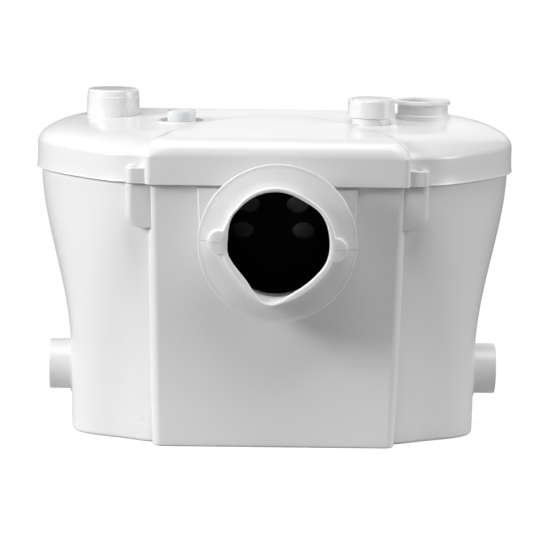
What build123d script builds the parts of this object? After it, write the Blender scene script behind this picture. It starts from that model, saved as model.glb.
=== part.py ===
from build123d import *
from math import cos, hypot, radians, sin
import os

# Floor-standing sewage lifting unit. Millimetres, +Z up, the front with the WC inlet faces -Y.
# The origin is on the floor, in the middle of the tank's flat underside.

# How far a cutter runs past a face, and a level above the whole unit
over = 1.0
above_z = 290.0

# Tank and lid
seam_z = 216.0
rim_z = 222.0
wall = 3.5
floor_thickness = 4.0
back_y = 88.0
skirt_reach = 4.2
lid_wall = 3.2
skirt_gap = 0.8
crown_rise = 40.0
crown_slope = 0.0625
skirt_height = 22.0
shoulder_reach = 50.0
back_reach = 10.0
station_ys = (-82, -80, -77, -72, -65, -55, -42, -24, -6, 12, 30, 48, 62, 74, 82, 86, 89, 91.2)
dome_front_y = -93.4
dome_half_width = 107.0
dome_centre_y = -80.0
dome_depth = 145.0
dome_arch = 1.6
dome_front_z = 254.0
dome_slope = 2.4
dome_round = 7.5

# Front bulge of the tank
bulge_base_half = 98.2
bulge_rim_half = 103.8
bulge_base_y = -86.0
bulge_rim_y = -89.5
bulge_taper = 3.6
bulge_root_y = -50.0
bulge_edge_round = 4.0

# Screw bosses between the bulge and the lobes, and behind
boss_x = 114.6
boss_outer_x = 122.4
boss_inner_x = 98.0
boss_front_y = -88.6
boss_root_y = -62.0
boss_low_z = 180.5
boss_top_z = 229.5
boss_round = 10.0
boss_screw_y = -82.0
back_boss_y = 98.0
back_boss_inner_x = 107.0
back_boss_screw_y = 91.5
screw_radius = 2.0

# WC inlet
inlet_z = 173.0
spigot_outer = 51.0
spigot_inner = 46.5
spigot_front_y = -116.0
pad_half_width = 64.0
pad_front_y = -91.2
pad_top_z = 214.0
sleeve_flange_radius = 63.6
sleeve_lip_radius = 42.0
sleeve_front_y = -131.0

# Side inlets
side_z = 51.0
side_y = 4.0
side_outer = 21.0
side_inner = 18.0
side_end_x = 188.0
side_inner_x = 150.0
side_collar_x = 170.0
side_collar_radius = 24.0
flap_gap = 0.4
pin_radius = 0.8

# Lid fittings, by centre
vent_x, vent_y = -138.0, 50.0
button_x, button_y = -79.2, 18.0
neck_x, neck_y = 80.0, 17.0
outlet_x, outlet_y = 125.5, 50.0

# Motor, cutter and pump, all on one upright axis
axis_y = 24.0
shaft_radius = 6.0
bore_clearance = 0.05
can_radius = 44.0
can_low_z = 92.0
deck_z = 208.0
deck_thickness = 3.0
tie_radius = 55.0
tie_angles = (62.0, 118.0, 200.0, 340.0)
pump_low_z = 16.0
pump_top_z = 56.0
hose_z = 36.0

basket_front_y = -78.0
basket_back_y = -34.0
basket_half = 46.0
basket_wall = 2.5
basket_top_z = 222.0
deck_front_y = -12.0

# Level switch
level_x, level_y = -115.0, 45.0

# Cable gland
gland_x, gland_z = -60.0, 187.0
cable_radius = 3.6
gland_thread = 8.0

# Lid fittings
gasket_height = 2.0
ledge_height = 3.0
screw_seat_z = 225.5
screw_head = 3.4
screw_low_z = 199.5
vent_seat_z = 255.2
vent_seat_wall = 3.2
vent_rim_round = 1.4
vent_neck_z = 270.0
vent_neck_low_z = 248.0
vent_ridge_z = 274.0
vent_top_z = 281.0
vent_top_radius = 21.2
neck_outer = 16.2
neck_inner = 13.2
neck_top_z = 268.0
neck_low_z = 246.0
seal_height = 1.2
cap_radius_left = 22.4
cap_radius_right = 19.8
cap_low_z = 262.4
cap_top_z = 278.2
outlet_top_z = 274.3
outlet_flange_z = 262.3
outlet_flange_radius = 23.4
outlet_radius = 21.4
outlet_bore = 18.5
outlet_shoulder_z = 250.0
socket_inner = 20.4
socket_outer = 24.0
recess_radius = 18.75
recess_z = 252.6
well_radius = 7.2
well_z = 246.6
cup_wall = 2.8
cup_floor = 3.0
button_radius = 12.0
button_top_z = 265.5
button_travel = 3.0
stem_radius = 4.0
spring_radius = 5.6
spring_wire = 0.45
spring_turns = 4.2
switch_top_z = 237.0

# Sleeve ears, either side of the lip
ear_x = 46.3
ear_tilt = 2.4
ear_radius = 9.5

# Basket, motor and pump details
basket_pot_radius = 50.0
slot_half_width = 9.0
slot_half_height = 6.9
slot_shift = -2.2
rib_half_width = 9.0
motor_flange_radius = 55.0
flange_screw_ring = 50.5
flange_angles = (35.0, 145.0, 215.0, 325.0)
deck_screw_places = [(-187.0, 20), (187.0, 20), (-146, 79.5), (146, 79.5)]
bearing_radius = 14.0
bearing_height = 8.0
press_gap = 0.02
seal_radius = 10.0
stator_low_z = 124.0
stator_high_z = 174.0
rotor_radius = 22.4
shaft_low_z = 21.0
shaft_high_z = 225.0
blade_z = 72.0
blade_reach = 40.0
tie_bolt_radius = 2.5
tie_hole_radius = 2.6
tie_lug_radius = 6.0
tie_head_radius = 4.5

# Discharge
stub_end_x = 74.0
stub_radius = 13.0
hose_radius = 17.0
hose_bend = 36.0
valve_low_z = 176.0
valve_high_z = 238.0
valve_radius = 20.0
valve_hinge = 12.6
seal_z = 229.0

# Level switch and capacitor
level_radius = 15.0
level_low_z = 20.0
diaphragm_thickness = 1.5
level_cap_radius = 23.5
capacitor_x, capacitor_y = 80.0, 57.0

# Base pads, set flush into the underside
pad_places = [(-120, -30), (120, -30), (-140, 70), (140, 70)]
pad_radius = 10.0
pad_height = 2.5

# Sizes of the inner parts that repeat along them
rail_height = 8.0
rail_outer_inset = 1.5
rail_inner_inset = 12.0
plate_span = 500.0
screw_length = 25.5
head_height = 3.0
cross_length = 4.2
cross_width = 0.9
can_wall = 2.0
can_floor = 7.0
flange_thickness = 3.0
tie_plate_thickness = 4.0
tie_plate_radius = 52.0
motor_cap_height = 17.0
motor_cap_round = 5.0
stator_slots = 12
stator_slot = (9.0, 5.0)
winding_height = 13.8
rotor_ring = 3.0
race_step = (3.0, 5.0)
nut_across = 9.0
blade_width = 13.0
blade_thickness = 3.0
blade_hub_radius = 10.0
pump_wall = 4.0
pump_eye = 16.0
impeller_height = 18.0
impeller_vanes = 6
impeller_vane = (26.0, 3.0)
impeller_disc = (37.0, 3.0)
nut_height = 4.5
clip_thickness = 1.5
clip_width = 8.0
valve_wall = 4.5
valve_step = 16.0
flap_radius = 11.0
flap_thickness = 2.0
seat_bore = 14.0
seat_ring = 3.0
side_flap_radius = 16.5
hinge_rise = 19.0
hinge_hub = 1.3
cover_height = 13.0
pusher_radius = 3.0
pusher_foot = 10.0
post_height = 5.0
switch_half = 14.0
switch_height = 9.0
terminal_pitches = (-9, 0, 9)
capacitor_radius = 15.0
capacitor_height = 34.0
tab_top_z = 251.0
terminal_low_x, terminal_high_x = -90.0, -54.0
terminal_low_y, terminal_high_y = 62.0, 74.0
terminal_height = 12.0
gland_across = 11.0
gland_hex = 5.0
gland_dome_radius = 9.2
gland_dome_y = 98.0

# Half outlines of the side lobes, from the front beside the bulge to the back corner: at the floor and at the rim
base_outline = [(101, -70), (125, -57.3), (152, -43.5), (165, -30), (168, -5), (168.3, 40), (164, 80), (148, 88)]
rim_outline = [(101, -79), (125, -71.5), (157, -44), (183, -9), (196.6, 27), (193.5, 57), (172, 80.5), (142, 88)]
lobe_ends = [(0.94, 0.34), (-1, 0)]


def flare(height):
    # share of the way from the floor outline to the rim outline, gentle at first and steep near z 150
    rise = min(max((height - 66) / 150, 0), 1)
    return 0.16 * min(height / seam_z, 1) + 0.84 * rise * rise * (3 - 2 * rise)


def lobe_points(height, inset=0.0):
    # right half of the tank's plan at a height, moved inwards by inset along its own normal
    share = flare(height)
    raw = [
        (a + (c - a) * share, b + (d - b) * share)
        for (a, b), (c, d) in zip(base_outline, rim_outline)
    ]
    moved = []
    for index, (x, y) in enumerate(raw):
        before = raw[max(index - 1, 0)]
        after = raw[min(index + 1, len(raw) - 1)]
        along_x, along_y = after[0] - before[0], after[1] - before[1]
        if index in (0, len(raw) - 1):
            along_x, along_y = (1, 0) if index == 0 else (-1, 0)
        length = hypot(along_x, along_y)
        moved.append((x - inset * along_y / length, y + inset * along_x / length))
    return moved


def lobe_plan(height, inset=0.0):
    # closed plan of both lobes: half of the front line, the right curve, half of the back line, then their mirror
    right = lobe_points(height, inset)
    with BuildSketch(Plane.XY) as plan:
        with BuildLine():
            Line((0, right[0][1]), right[0])
            Spline(*right, tangents=lobe_ends)
            Line(right[-1], (0, right[-1][1]))
            mirror(about=Plane.YZ)
        make_face()
    return plan.sketch


def bulge_corners(height, inset=0.0):
    # plan of the tapered front bulge at a height, widening slightly towards the lobes
    share = height / seam_z
    half = bulge_base_half + (bulge_rim_half - bulge_base_half) * share - inset
    front = bulge_base_y + (bulge_rim_y - bulge_base_y) * share + inset
    return [(-half, front), (half, front), (half + bulge_taper, bulge_root_y), (-half - bulge_taper, bulge_root_y)]


def bulge_plan(height, inset=0.0):
    with BuildSketch(Plane.XY) as plan:
        Polygon(*bulge_corners(height, inset), align=None)
    return plan.sketch


def rim_plan(inset):
    # plan of the whole tank at its rim
    with BuildSketch(Plane.XY) as plan:
        add(lobe_plan(seam_z, inset))
        add(bulge_plan(seam_z, inset))
    return plan.sketch


def crown_height(y, inset):
    # height of the lid's middle over the seam: a long elliptical shoulder at the front, a tight one at the back
    front_y, rear_y = rim_outline[0][1] - skirt_reach + inset, back_y + skirt_reach - inset
    front = 1 - min(max(y - front_y, 0.0) / shoulder_reach, 1)
    back = 1 - min(max(rear_y - y, 0.0) / back_reach, 1)
    climb = crown_rise + crown_slope * y - skirt_height
    return skirt_height + climb * ((1 - front ** 2) * (1 - back ** 2)) ** 0.5


def lid_stations(inset):
    # half width and y of the lid's upright sections, read along the rim outline moved outwards
    edge = Spline(*lobe_points(seam_z, -skirt_reach + inset), tangents=lobe_ends)
    track = [edge @ (step / 200) for step in range(201)]
    first, last = track[0], track[-1]
    stations = [first]
    for y in station_ys:
        if first.Y + 0.5 < y < last.Y - 0.5:
            stations.append(min(track, key=lambda point: abs(point.Y - y)))
    return stations + [last]


def lid_arch(half_width, rise):
    # upright section of the lid: straight sides, elliptical shoulders and a flat middle
    foot = seam_z + 0.95 * min(skirt_height, rise)
    flat = half_width - shoulder_reach
    reach, climb = shoulder_reach, seam_z + rise - foot
    with BuildSketch(Plane.XY) as section:
        with BuildLine():
            Line((0, seam_z), (half_width, seam_z))
            Line((half_width, seam_z), (half_width, foot))
            EllipticalCenterArc((flat, foot), reach, climb, arc_size=90)
            Line((flat, foot + climb), (0, foot + climb))
            mirror(about=Plane.YZ)
        make_face()
    return section.sketch


def dome_plan(inset=0.0):
    # plan of the raised front dome: square front with round corners, an arched back
    half = dome_half_width - inset
    front = dome_front_y + inset
    corner = dome_round + 1.0
    arch = []
    for step in range(7):
        angle = radians(15 * step)
        arch.append((half * cos(angle), dome_centre_y + (dome_depth - inset) * sin(angle) ** dome_arch))
    with BuildSketch(Plane.XY) as plan:
        with BuildLine():
            Line((0, front), (half - corner, front))
            RadiusArc((half - corner, front), (half, front + corner), -corner)
            Line((half, front + corner), (half, dome_centre_y))
            Spline(*arch, tangents=[(0, 1), (-1, 0)])
            mirror(about=Plane.YZ)
        make_face()
    return plan.sketch


def dome_block(inset, drop):
    # the dome as a solid under a sloping top, from the seam up
    with BuildPart() as block:
        with BuildSketch(Plane.XY.offset(seam_z)):
            add(dome_plan(inset))
        extrude(amount=70)
        top_plane = Plane(origin=(0, dome_centre_y, dome_front_z - drop), z_dir=(0, -sin(radians(dome_slope)), 1))
        split(bisect_by=top_plane, keep=Keep.BOTTOM)
        fillet(block.faces().sort_by(Axis.Z)[-1].edges(), dome_round - inset)
    return block.part


def lid_block(inset, drop):
    # the lobes of the lid as a solid, lofted through upright sections from front to back
    with BuildPart() as block:
        for station in lid_stations(inset):
            with BuildSketch(Plane.XZ.offset(-station.Y)):
                add(lid_arch(station.X, crown_height(station.Y, inset) - drop))
        loft(ruled=True)
    return block.part


def upright(x, y, low, high, outer, inner=0.0):
    # upright round bar or tube
    with BuildPart() as bar:
        with BuildSketch(Plane.XY.offset(low)):
            with Locations((x, y)):
                Circle(outer)
                if inner:
                    Circle(inner, mode=Mode.SUBTRACT)
        extrude(amount=high - low)
    return bar.part


def fore_and_aft(x, z, low, high, outer, inner=0.0):
    # round bar or tube along Y
    with BuildPart() as bar:
        with BuildSketch(Plane.XZ.offset(-high)):
            with Locations((x, z)):
                Circle(outer)
                if inner:
                    Circle(inner, mode=Mode.SUBTRACT)
        extrude(amount=high - low)
    return bar.part


def crosswise(y, z, low, high, outer, inner=0.0):
    # round bar or tube along X
    with BuildPart() as bar:
        with BuildSketch(Plane.YZ.offset(low)):
            with Locations((y, z)):
                Circle(outer)
                if inner:
                    Circle(inner, mode=Mode.SUBTRACT)
        extrude(amount=high - low)
    return bar.part


def block(x_low, x_high, y_low, y_high, z_low, z_high):
    # plain block between two corners
    with BuildPart() as solid:
        with BuildSketch(Plane.XY.offset(z_low)):
            with Locations(((x_low + x_high) / 2, (y_low + y_high) / 2)):
                Rectangle(x_high - x_low, y_high - y_low)
        extrude(amount=z_high - z_low)
    return solid.part


def around_axis(angle, radius):
    # point at a radius about the motor's upright axis
    return radius * cos(radians(angle)), axis_y + radius * sin(radians(angle))


def finish(builder, name):
    builder.part.label = name
    export_step(builder.part, f"parts/{name}.step")


os.makedirs("parts", exist_ok=True)

# Tank: two flared lobes and a tapered front bulge, hollowed to one wall, with spigot, side stubs, bosses and rails
tank_levels = (0, 36, 72, 104, 136, 168, 196, seam_z, rim_z)
inner_levels = (floor_thickness,) + tank_levels[1:-1] + (rim_z + 2,)
with BuildPart() as lobes_inside:
    for level in inner_levels:
        with BuildSketch(Plane.XY.offset(level)):
            add(lobe_plan(level, wall))
    loft()
with BuildPart() as bulge_inside:
    for level in (inner_levels[0], inner_levels[-1]):
        with BuildSketch(Plane.XY.offset(level)):
            add(bulge_plan(level, wall))
    loft(ruled=True)
with BuildPart() as rail:
    with BuildSketch(Plane.XY.offset(deck_z - rail_height)):
        add(lobe_plan(deck_z, rail_outer_inset))
        add(lobe_plan(deck_z, rail_inner_inset), mode=Mode.SUBTRACT)
        with Locations((0, deck_front_y - plate_span / 2)):
            Rectangle(plate_span, plate_span, mode=Mode.SUBTRACT)
    extrude(amount=rail_height)
with BuildPart() as tank:
    for level in tank_levels:
        with BuildSketch(Plane.XY.offset(level)):
            add(lobe_plan(level))
    loft()
    for level in (0, rim_z):
        with BuildSketch(Plane.XY.offset(level)):
            add(bulge_plan(level))
    loft(ruled=True)
    fillet(tank.edges().filter_by(Axis.Z, 4).group_by(Axis.Y)[0], bulge_edge_round)
    with BuildSketch(Plane.XZ.offset(-bulge_root_y)):
        with BuildLine():
            Line((pad_half_width, inlet_z), (pad_half_width, pad_top_z))
            Line((pad_half_width, pad_top_z), (-pad_half_width, pad_top_z))
            Line((-pad_half_width, pad_top_z), (-pad_half_width, inlet_z))
            ThreePointArc((-pad_half_width, inlet_z), (0, inlet_z - pad_half_width), (pad_half_width, inlet_z))
        make_face()
    extrude(amount=bulge_root_y - pad_front_y)
    for side in (-1, 1):
        with BuildSketch(Plane.XZ.offset(-boss_root_y)):
            with Locations((side * (boss_outer_x + boss_inner_x) / 2, (boss_low_z + seam_z) / 2)):
                Rectangle(boss_outer_x - boss_inner_x, seam_z - boss_low_z)
            fillet([v for v in vertices() if abs(v.X) > boss_x and v.Y < seam_z - 5], boss_round)
        extrude(amount=boss_root_y - boss_front_y)
        inner, outer = sorted((side * back_boss_inner_x, side * boss_outer_x))
        add(block(inner, outer, back_y - 8, back_boss_y, boss_low_z, seam_z))
    add(fore_and_aft(0, inlet_z, spigot_front_y, bulge_rim_y + 4, spigot_outer))
    add(crosswise(side_y, side_z, -side_end_x, -side_inner_x, side_outer))
    add(crosswise(side_y, side_z, side_inner_x, side_end_x, side_outer))
    # a low collar gives each stub a flat root for its hose to end on
    add(crosswise(side_y, side_z, -side_collar_x, -side_inner_x, side_collar_radius))
    add(crosswise(side_y, side_z, side_inner_x, side_collar_x, side_collar_radius))
    inside = lobes_inside.part + bulge_inside.part
    add(inside, mode=Mode.SUBTRACT)
    add(rail.part)
    for side in (-1, 1):
        low, high = sorted((side * side_inner_x, side * side_end_x))
        add(crosswise(side_y, side_z, low, high, side_outer))
        add(crosswise(side_y, side_z, low - over, high + over, side_inner), mode=Mode.SUBTRACT)
    add(fore_and_aft(0, inlet_z, basket_front_y - 2, bulge_rim_y + 4, spigot_outer))
    add(fore_and_aft(0, inlet_z, spigot_front_y - over, basket_front_y + over, spigot_inner), mode=Mode.SUBTRACT)
    # the top of the spigot stops short of the lid's front wall and of the rim
    lid_slot = block(-pad_half_width, pad_half_width, dome_front_y - 0.6, bulge_rim_y - 0.4, seam_z - 0.4, rim_z + 5)
    add(lid_slot, mode=Mode.SUBTRACT)
    add(block(-pad_half_width, pad_half_width, bulge_rim_y - 1, -60, rim_z, rim_z + 5), mode=Mode.SUBTRACT)
    for side in (-1, 1):
        for screw_y in (boss_screw_y, back_boss_screw_y):
            hole = upright(side * boss_x, screw_y, screw_low_z - 2, seam_z + over, screw_radius + 0.1)
            add(hole, mode=Mode.SUBTRACT)
    for x, y in deck_screw_places:
        add(upright(x, y, deck_z - rail_height - over, deck_z + over, screw_radius + 0.1), mode=Mode.SUBTRACT)
    add(fore_and_aft(gland_x, gland_z, back_y - 10, back_y + 5, gland_thread + 0.1), mode=Mode.SUBTRACT)
    for x, y in pad_places:
        add(upright(x, y, -over, pad_height, pad_radius + 0.1), mode=Mode.SUBTRACT)
finish(tank, "tank")

# Lid: lofted lobes and the raised front dome, hollow, with an inner ledge that presses on the gasket
with BuildPart() as ledge:
    with BuildSketch(Plane.XY.offset(rim_z + gasket_height)):
        add(rim_plan(-2.5))
        add(rim_plan(5.5), mode=Mode.SUBTRACT)
    extrude(amount=ledge_height)
with BuildPart() as rim_pocket:
    with BuildSketch(Plane.XY.offset(seam_z - 2)):
        add(rim_plan(0.2 - skirt_gap))
    extrude(amount=rim_z + gasket_height - seam_z + 2)
lid_outside = lid_block(0, 0) + dome_block(0, 0)
lid_inside = lid_block(skirt_reach - skirt_gap, lid_wall) + dome_block(lid_wall - 0.2, lid_wall)
with BuildPart() as lid:
    add(lid_outside)
    add(lid_inside, mode=Mode.SUBTRACT)
    # seat of the vent cap, let into the crown
    add(upright(vent_x, vent_y, vent_seat_z - vent_seat_wall, vent_seat_z + 1.5, cap_radius_left + vent_seat_wall))
    add(upright(vent_x, vent_y, vent_seat_z, above_z, cap_radius_left + 0.5), mode=Mode.SUBTRACT)
    add(ledge.part)
    add(upright(vent_x, vent_y, vent_neck_low_z, vent_neck_z, neck_outer))
    add(upright(neck_x, neck_y, neck_low_z, neck_top_z, neck_outer))
    add(upright(outlet_x, outlet_y, rim_z, outlet_shoulder_z + 6, socket_outer))
    add(upright(outlet_x, outlet_y, outlet_shoulder_z + 2, outlet_flange_z, outlet_flange_radius))
    add(upright(outlet_x, outlet_y, outlet_flange_z, outlet_top_z, outlet_radius))
    add(upright(outlet_x, outlet_y, outlet_top_z - 3.5, outlet_top_z, outlet_flange_radius))
    add(upright(button_x, button_y, recess_z - cup_floor, recess_z + 2, recess_radius + cup_wall))
    add(upright(button_x, button_y, well_z - cup_floor, recess_z, well_radius + cup_wall))
    add(upright(vent_x, vent_y, 230, above_z, neck_inner), mode=Mode.SUBTRACT)
    add(upright(neck_x, neck_y, 240, above_z, neck_inner), mode=Mode.SUBTRACT)
    add(upright(outlet_x, outlet_y, rim_z - 1, outlet_shoulder_z, socket_inner), mode=Mode.SUBTRACT)
    add(upright(outlet_x, outlet_y, rim_z - 1, above_z, outlet_bore), mode=Mode.SUBTRACT)
    add(upright(button_x, button_y, recess_z, above_z, recess_radius), mode=Mode.SUBTRACT)
    add(upright(button_x, button_y, well_z, recess_z + 1, well_radius), mode=Mode.SUBTRACT)
    add(upright(button_x, button_y, well_z - 4, recess_z, stem_radius + 0.1), mode=Mode.SUBTRACT)
    for side in (-1, 1):
        inner, outer = sorted((side * (bulge_rim_half - 1), side * boss_outer_x))
        add(block(inner, outer, boss_front_y - 1, boss_root_y, seam_z + 0.4, boss_top_z))
        inner, outer = sorted((side * back_boss_inner_x, side * boss_outer_x))
        add(block(inner, outer, back_y - 4, back_boss_y, seam_z + 0.4, boss_top_z))
        add(upright(button_x + side * 10, button_y, switch_top_z, well_z - cup_floor, 2.0))
    add(rim_pocket.part, mode=Mode.SUBTRACT)
    for side in (-1, 1):
        for screw_y in (boss_screw_y, back_boss_screw_y):
            hole = upright(side * boss_x, screw_y, seam_z - 1, boss_top_z + 1, screw_radius + 0.3)
            add(hole, mode=Mode.SUBTRACT)
            seat = upright(side * boss_x, screw_y, screw_seat_z, boss_top_z + 1, screw_head + 0.2)
            add(seat, mode=Mode.SUBTRACT)
finish(lid, "lid")

# Gasket between the tank's rim and the lid's ledge
with BuildPart() as lid_gasket:
    with BuildSketch(Plane.XY.offset(rim_z)):
        add(rim_plan(0.4))
        add(rim_plan(wall - 0.4), mode=Mode.SUBTRACT)
    extrude(amount=gasket_height)
finish(lid_gasket, "lid_gasket")

# Lid screws, one in each boss
with BuildPart() as lid_screws:
    for side in (-1, 1):
        for screw_y in (boss_screw_y, back_boss_screw_y):
            add(upright(side * boss_x, screw_y, screw_seat_z - screw_length, screw_seat_z + 1, screw_radius))
            add(upright(side * boss_x, screw_y, screw_seat_z, screw_seat_z + head_height, screw_head))
            with BuildSketch(Plane.XY.offset(screw_seat_z + head_height)):
                with Locations((side * boss_x, screw_y)):
                    Rectangle(cross_length, cross_width)
                    Rectangle(cross_width, cross_length)
            extrude(amount=-head_height / 2, mode=Mode.SUBTRACT)
finish(lid_screws, "lid_screws")

# Rubber base pads
with BuildPart() as base_pads:
    for x, y in pad_places:
        add(upright(x, y, 0, pad_height - 0.1, pad_radius))
finish(base_pads, "base_pads")

# Soft WC sleeve, turned about the inlet axis: rear tube, dished flange and a thick front lip with two ears
with BuildPart() as wc_sleeve:
    with BuildSketch(Plane(origin=(0, 0, inlet_z), x_dir=(0, -1, 0), z_dir=(-1, 0, 0))):
        with BuildLine():
            Polyline(
                (94, spigot_outer + 0.3),
                (-spigot_front_y + 0.3, spigot_outer + 0.3),
                (-spigot_front_y + 0.3, sleeve_lip_radius),
                (-sleeve_front_y - 1, sleeve_lip_radius),
                (-sleeve_front_y, sleeve_lip_radius + 1),
                (-sleeve_front_y, sleeve_lip_radius + 3.8),
                (-sleeve_front_y - 1.2, sleeve_lip_radius + 4.6),
                (127, 47.5),
                (120.5, 52),
                (117, 55.5),
                (116, 58),
                (116.5, 60.5),
                (119, sleeve_flange_radius - 1.4),
                (118.5, sleeve_flange_radius),
                (112, sleeve_flange_radius),
                (109, 60),
                (108, spigot_outer + 3.5),
                (94, spigot_outer + 3.5),
                close=True,
            )
        make_face()
    revolve(axis=Axis((0, 0, inlet_z), (0, 1, 0)))
    for side in (-1, 1):
        add(fore_and_aft(side * ear_x, inlet_z - side * ear_tilt, sleeve_front_y + 4, -112, ear_radius))
    add(fore_and_aft(0, inlet_z, sleeve_front_y - 1, spigot_front_y - 0.3, sleeve_lip_radius), mode=Mode.SUBTRACT)
    add(fore_and_aft(0, inlet_z, spigot_front_y - 0.3, -92, spigot_outer + 0.3), mode=Mode.SUBTRACT)
finish(wc_sleeve, "wc_sleeve")

# Clamp band that holds the sleeve on the tank's spigot
clamp_low_y, clamp_high_y = -103.5, -95.5
with BuildPart() as sleeve_clamp:
    add(fore_and_aft(0, inlet_z, clamp_low_y, clamp_high_y, spigot_outer + 5.1, spigot_outer + 3.55))
    add(block(-8, 8, clamp_low_y, clamp_high_y, inlet_z - 61, inlet_z - spigot_outer - 4.5))
    add(fore_and_aft(0, inlet_z, clamp_low_y - 1, clamp_high_y + 1, spigot_outer + 3.55), mode=Mode.SUBTRACT)
finish(sleeve_clamp, "sleeve_clamp")

# Black cutter basket: an upright chamber behind the inlet that opens into a round pot round the cutter
with BuildPart() as basket:
    with BuildSketch(Plane.XY.offset(pump_top_z)):
        with Locations((0, (basket_front_y + axis_y) / 2)):
            Rectangle(2 * basket_half, axis_y - basket_front_y)
        with Locations((0, axis_y)):
            Circle(basket_pot_radius)
    extrude(amount=can_low_z - pump_top_z)
    with BuildSketch(Plane.XY.offset(can_low_z)):
        with Locations((0, (basket_front_y + basket_back_y) / 2)):
            Rectangle(2 * basket_half, basket_back_y - basket_front_y)
    extrude(amount=basket_top_z - can_low_z)
    with BuildSketch(Plane.XY.offset(pump_top_z + basket_wall)):
        with Locations((0, (basket_front_y + basket_wall + axis_y) / 2)):
            Rectangle(2 * (basket_half - basket_wall), axis_y - basket_front_y - basket_wall)
        with Locations((0, axis_y)):
            Circle(basket_pot_radius - basket_wall)
    extrude(amount=can_low_z - pump_top_z - 2 * basket_wall, mode=Mode.SUBTRACT)
    with BuildSketch(Plane.XY.offset(can_low_z - basket_wall - 1)):
        with Locations((0, (basket_front_y + basket_back_y) / 2)):
            Rectangle(2 * (basket_half - basket_wall), basket_back_y - basket_front_y - 2 * basket_wall)
    extrude(amount=basket_top_z, mode=Mode.SUBTRACT)
    add(upright(0, axis_y, can_low_z - basket_wall - 1, can_low_z + 1, can_radius + 1), mode=Mode.SUBTRACT)
    add(upright(0, axis_y, pump_top_z - 1, pump_top_z + 4, 9.0), mode=Mode.SUBTRACT)
    add(fore_and_aft(0, inlet_z, basket_front_y - 1, basket_front_y + 4, spigot_inner - 3), mode=Mode.SUBTRACT)
    with BuildSketch(Plane.XZ.offset(-basket_back_y)):
        for side in (-1, 1):
            with Locations((slot_shift + side * 20, inlet_z + 21), (slot_shift + side * 25.2, inlet_z - 0.5)):
                Ellipse(slot_half_width, slot_half_height)
    extrude(amount=basket_wall + 1, mode=Mode.SUBTRACT)
    with BuildSketch(Plane.XY.offset(can_low_z)):
        with Locations((slot_shift, basket_back_y - basket_wall - 1)):
            Rectangle(2 * rib_half_width, 4)
    extrude(amount=basket_top_z - can_low_z)
    for level in (68, 80):
        for y in range(-66, 20, 12):
            add(crosswise(y, level, -basket_half - 1, basket_half + 1, 3.6), mode=Mode.SUBTRACT)
finish(basket, "basket")

# Deck: inner plate that lies on the tank's rail and carries the motor, the level switch and the electrical parts
with BuildPart() as deck:
    with BuildSketch(Plane.XY.offset(deck_z)):
        add(lobe_plan(deck_z, wall + 1.0))
        with Locations((0, deck_front_y - plate_span / 2)):
            Rectangle(plate_span, plate_span, mode=Mode.SUBTRACT)
        with Locations((0, axis_y)):
            Circle(can_radius + 1, mode=Mode.SUBTRACT)
        with Locations((outlet_x, outlet_y)):
            Circle(valve_radius + 1.5, mode=Mode.SUBTRACT)
        with Locations((level_x, level_y)):
            Circle(level_radius + 0.4, mode=Mode.SUBTRACT)
        with Locations((neck_x, neck_y)):
            Circle(neck_outer + 1, mode=Mode.SUBTRACT)
        with Locations((gland_x, 76)):
            Circle(5, mode=Mode.SUBTRACT)
        with Locations(*[around_axis(angle, flange_screw_ring) for angle in flange_angles], *deck_screw_places):
            Circle(screw_radius + 0.2, mode=Mode.SUBTRACT)
    extrude(amount=deck_thickness)
finish(deck, "deck")

with BuildPart() as deck_screws:
    for x, y in deck_screw_places:
        add(upright(x, y, deck_z - 6, deck_z + deck_thickness + 1, screw_radius))
        add(upright(x, y, deck_z + deck_thickness, deck_z + deck_thickness + head_height, screw_head))
finish(deck_screws, "deck_screws")

# Motor: can, end cap, stator, windings, bearings and seal
flange_z = deck_z + deck_thickness
motor_top_z = flange_z + flange_thickness
cap_flange_z = motor_top_z + flange_thickness
upper_bearing_z = flange_z + 5
can_inner_z = can_low_z + can_floor
tie_top_z = can_low_z + tie_plate_thickness
with BuildPart() as motor_can:
    add(upright(0, axis_y, can_low_z, motor_top_z, can_radius))
    add(upright(0, axis_y, flange_z, motor_top_z, motor_flange_radius))
    add(upright(0, axis_y, can_low_z, tie_top_z, tie_plate_radius))
    for angle in tie_angles:
        add(upright(*around_axis(angle, tie_radius), can_low_z, tie_top_z, tie_lug_radius))
    add(upright(0, axis_y, can_inner_z, motor_top_z + over, can_radius - can_wall), mode=Mode.SUBTRACT)
    add(upright(0, axis_y, can_inner_z, can_inner_z + bearing_height, bearing_radius + 3, bearing_radius + press_gap))
    add(upright(0, axis_y, can_low_z - over, can_inner_z + over, seal_radius + press_gap), mode=Mode.SUBTRACT)
    for angle in tie_angles:
        hole = upright(*around_axis(angle, tie_radius), can_low_z - over, tie_top_z + over, tie_hole_radius)
        add(hole, mode=Mode.SUBTRACT)
    for angle in flange_angles:
        x, y = around_axis(angle, flange_screw_ring)
        add(upright(x, y, flange_z - over, motor_top_z + over, screw_radius + 0.2), mode=Mode.SUBTRACT)
finish(motor_can, "motor_can")

with BuildPart() as motor_cap:
    add(upright(0, axis_y, motor_top_z, cap_flange_z, motor_flange_radius))
    add(upright(0, axis_y, motor_top_z, motor_top_z + motor_cap_height, can_radius + 1))
    fillet(motor_cap.faces().sort_by(Axis.Z)[-1].edges(), motor_cap_round)
    inner_top_z = motor_top_z + motor_cap_height - flange_thickness
    add(upright(0, axis_y, motor_top_z - over, inner_top_z, can_radius - 3), mode=Mode.SUBTRACT)
    add(upright(0, axis_y, upper_bearing_z, inner_top_z + over, bearing_radius + 3, bearing_radius + press_gap))
    for angle in flange_angles:
        hole = upright(*around_axis(angle, flange_screw_ring), flange_z, cap_flange_z + over, screw_radius + 0.2)
        add(hole, mode=Mode.SUBTRACT)
finish(motor_cap, "motor_cap")

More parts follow.
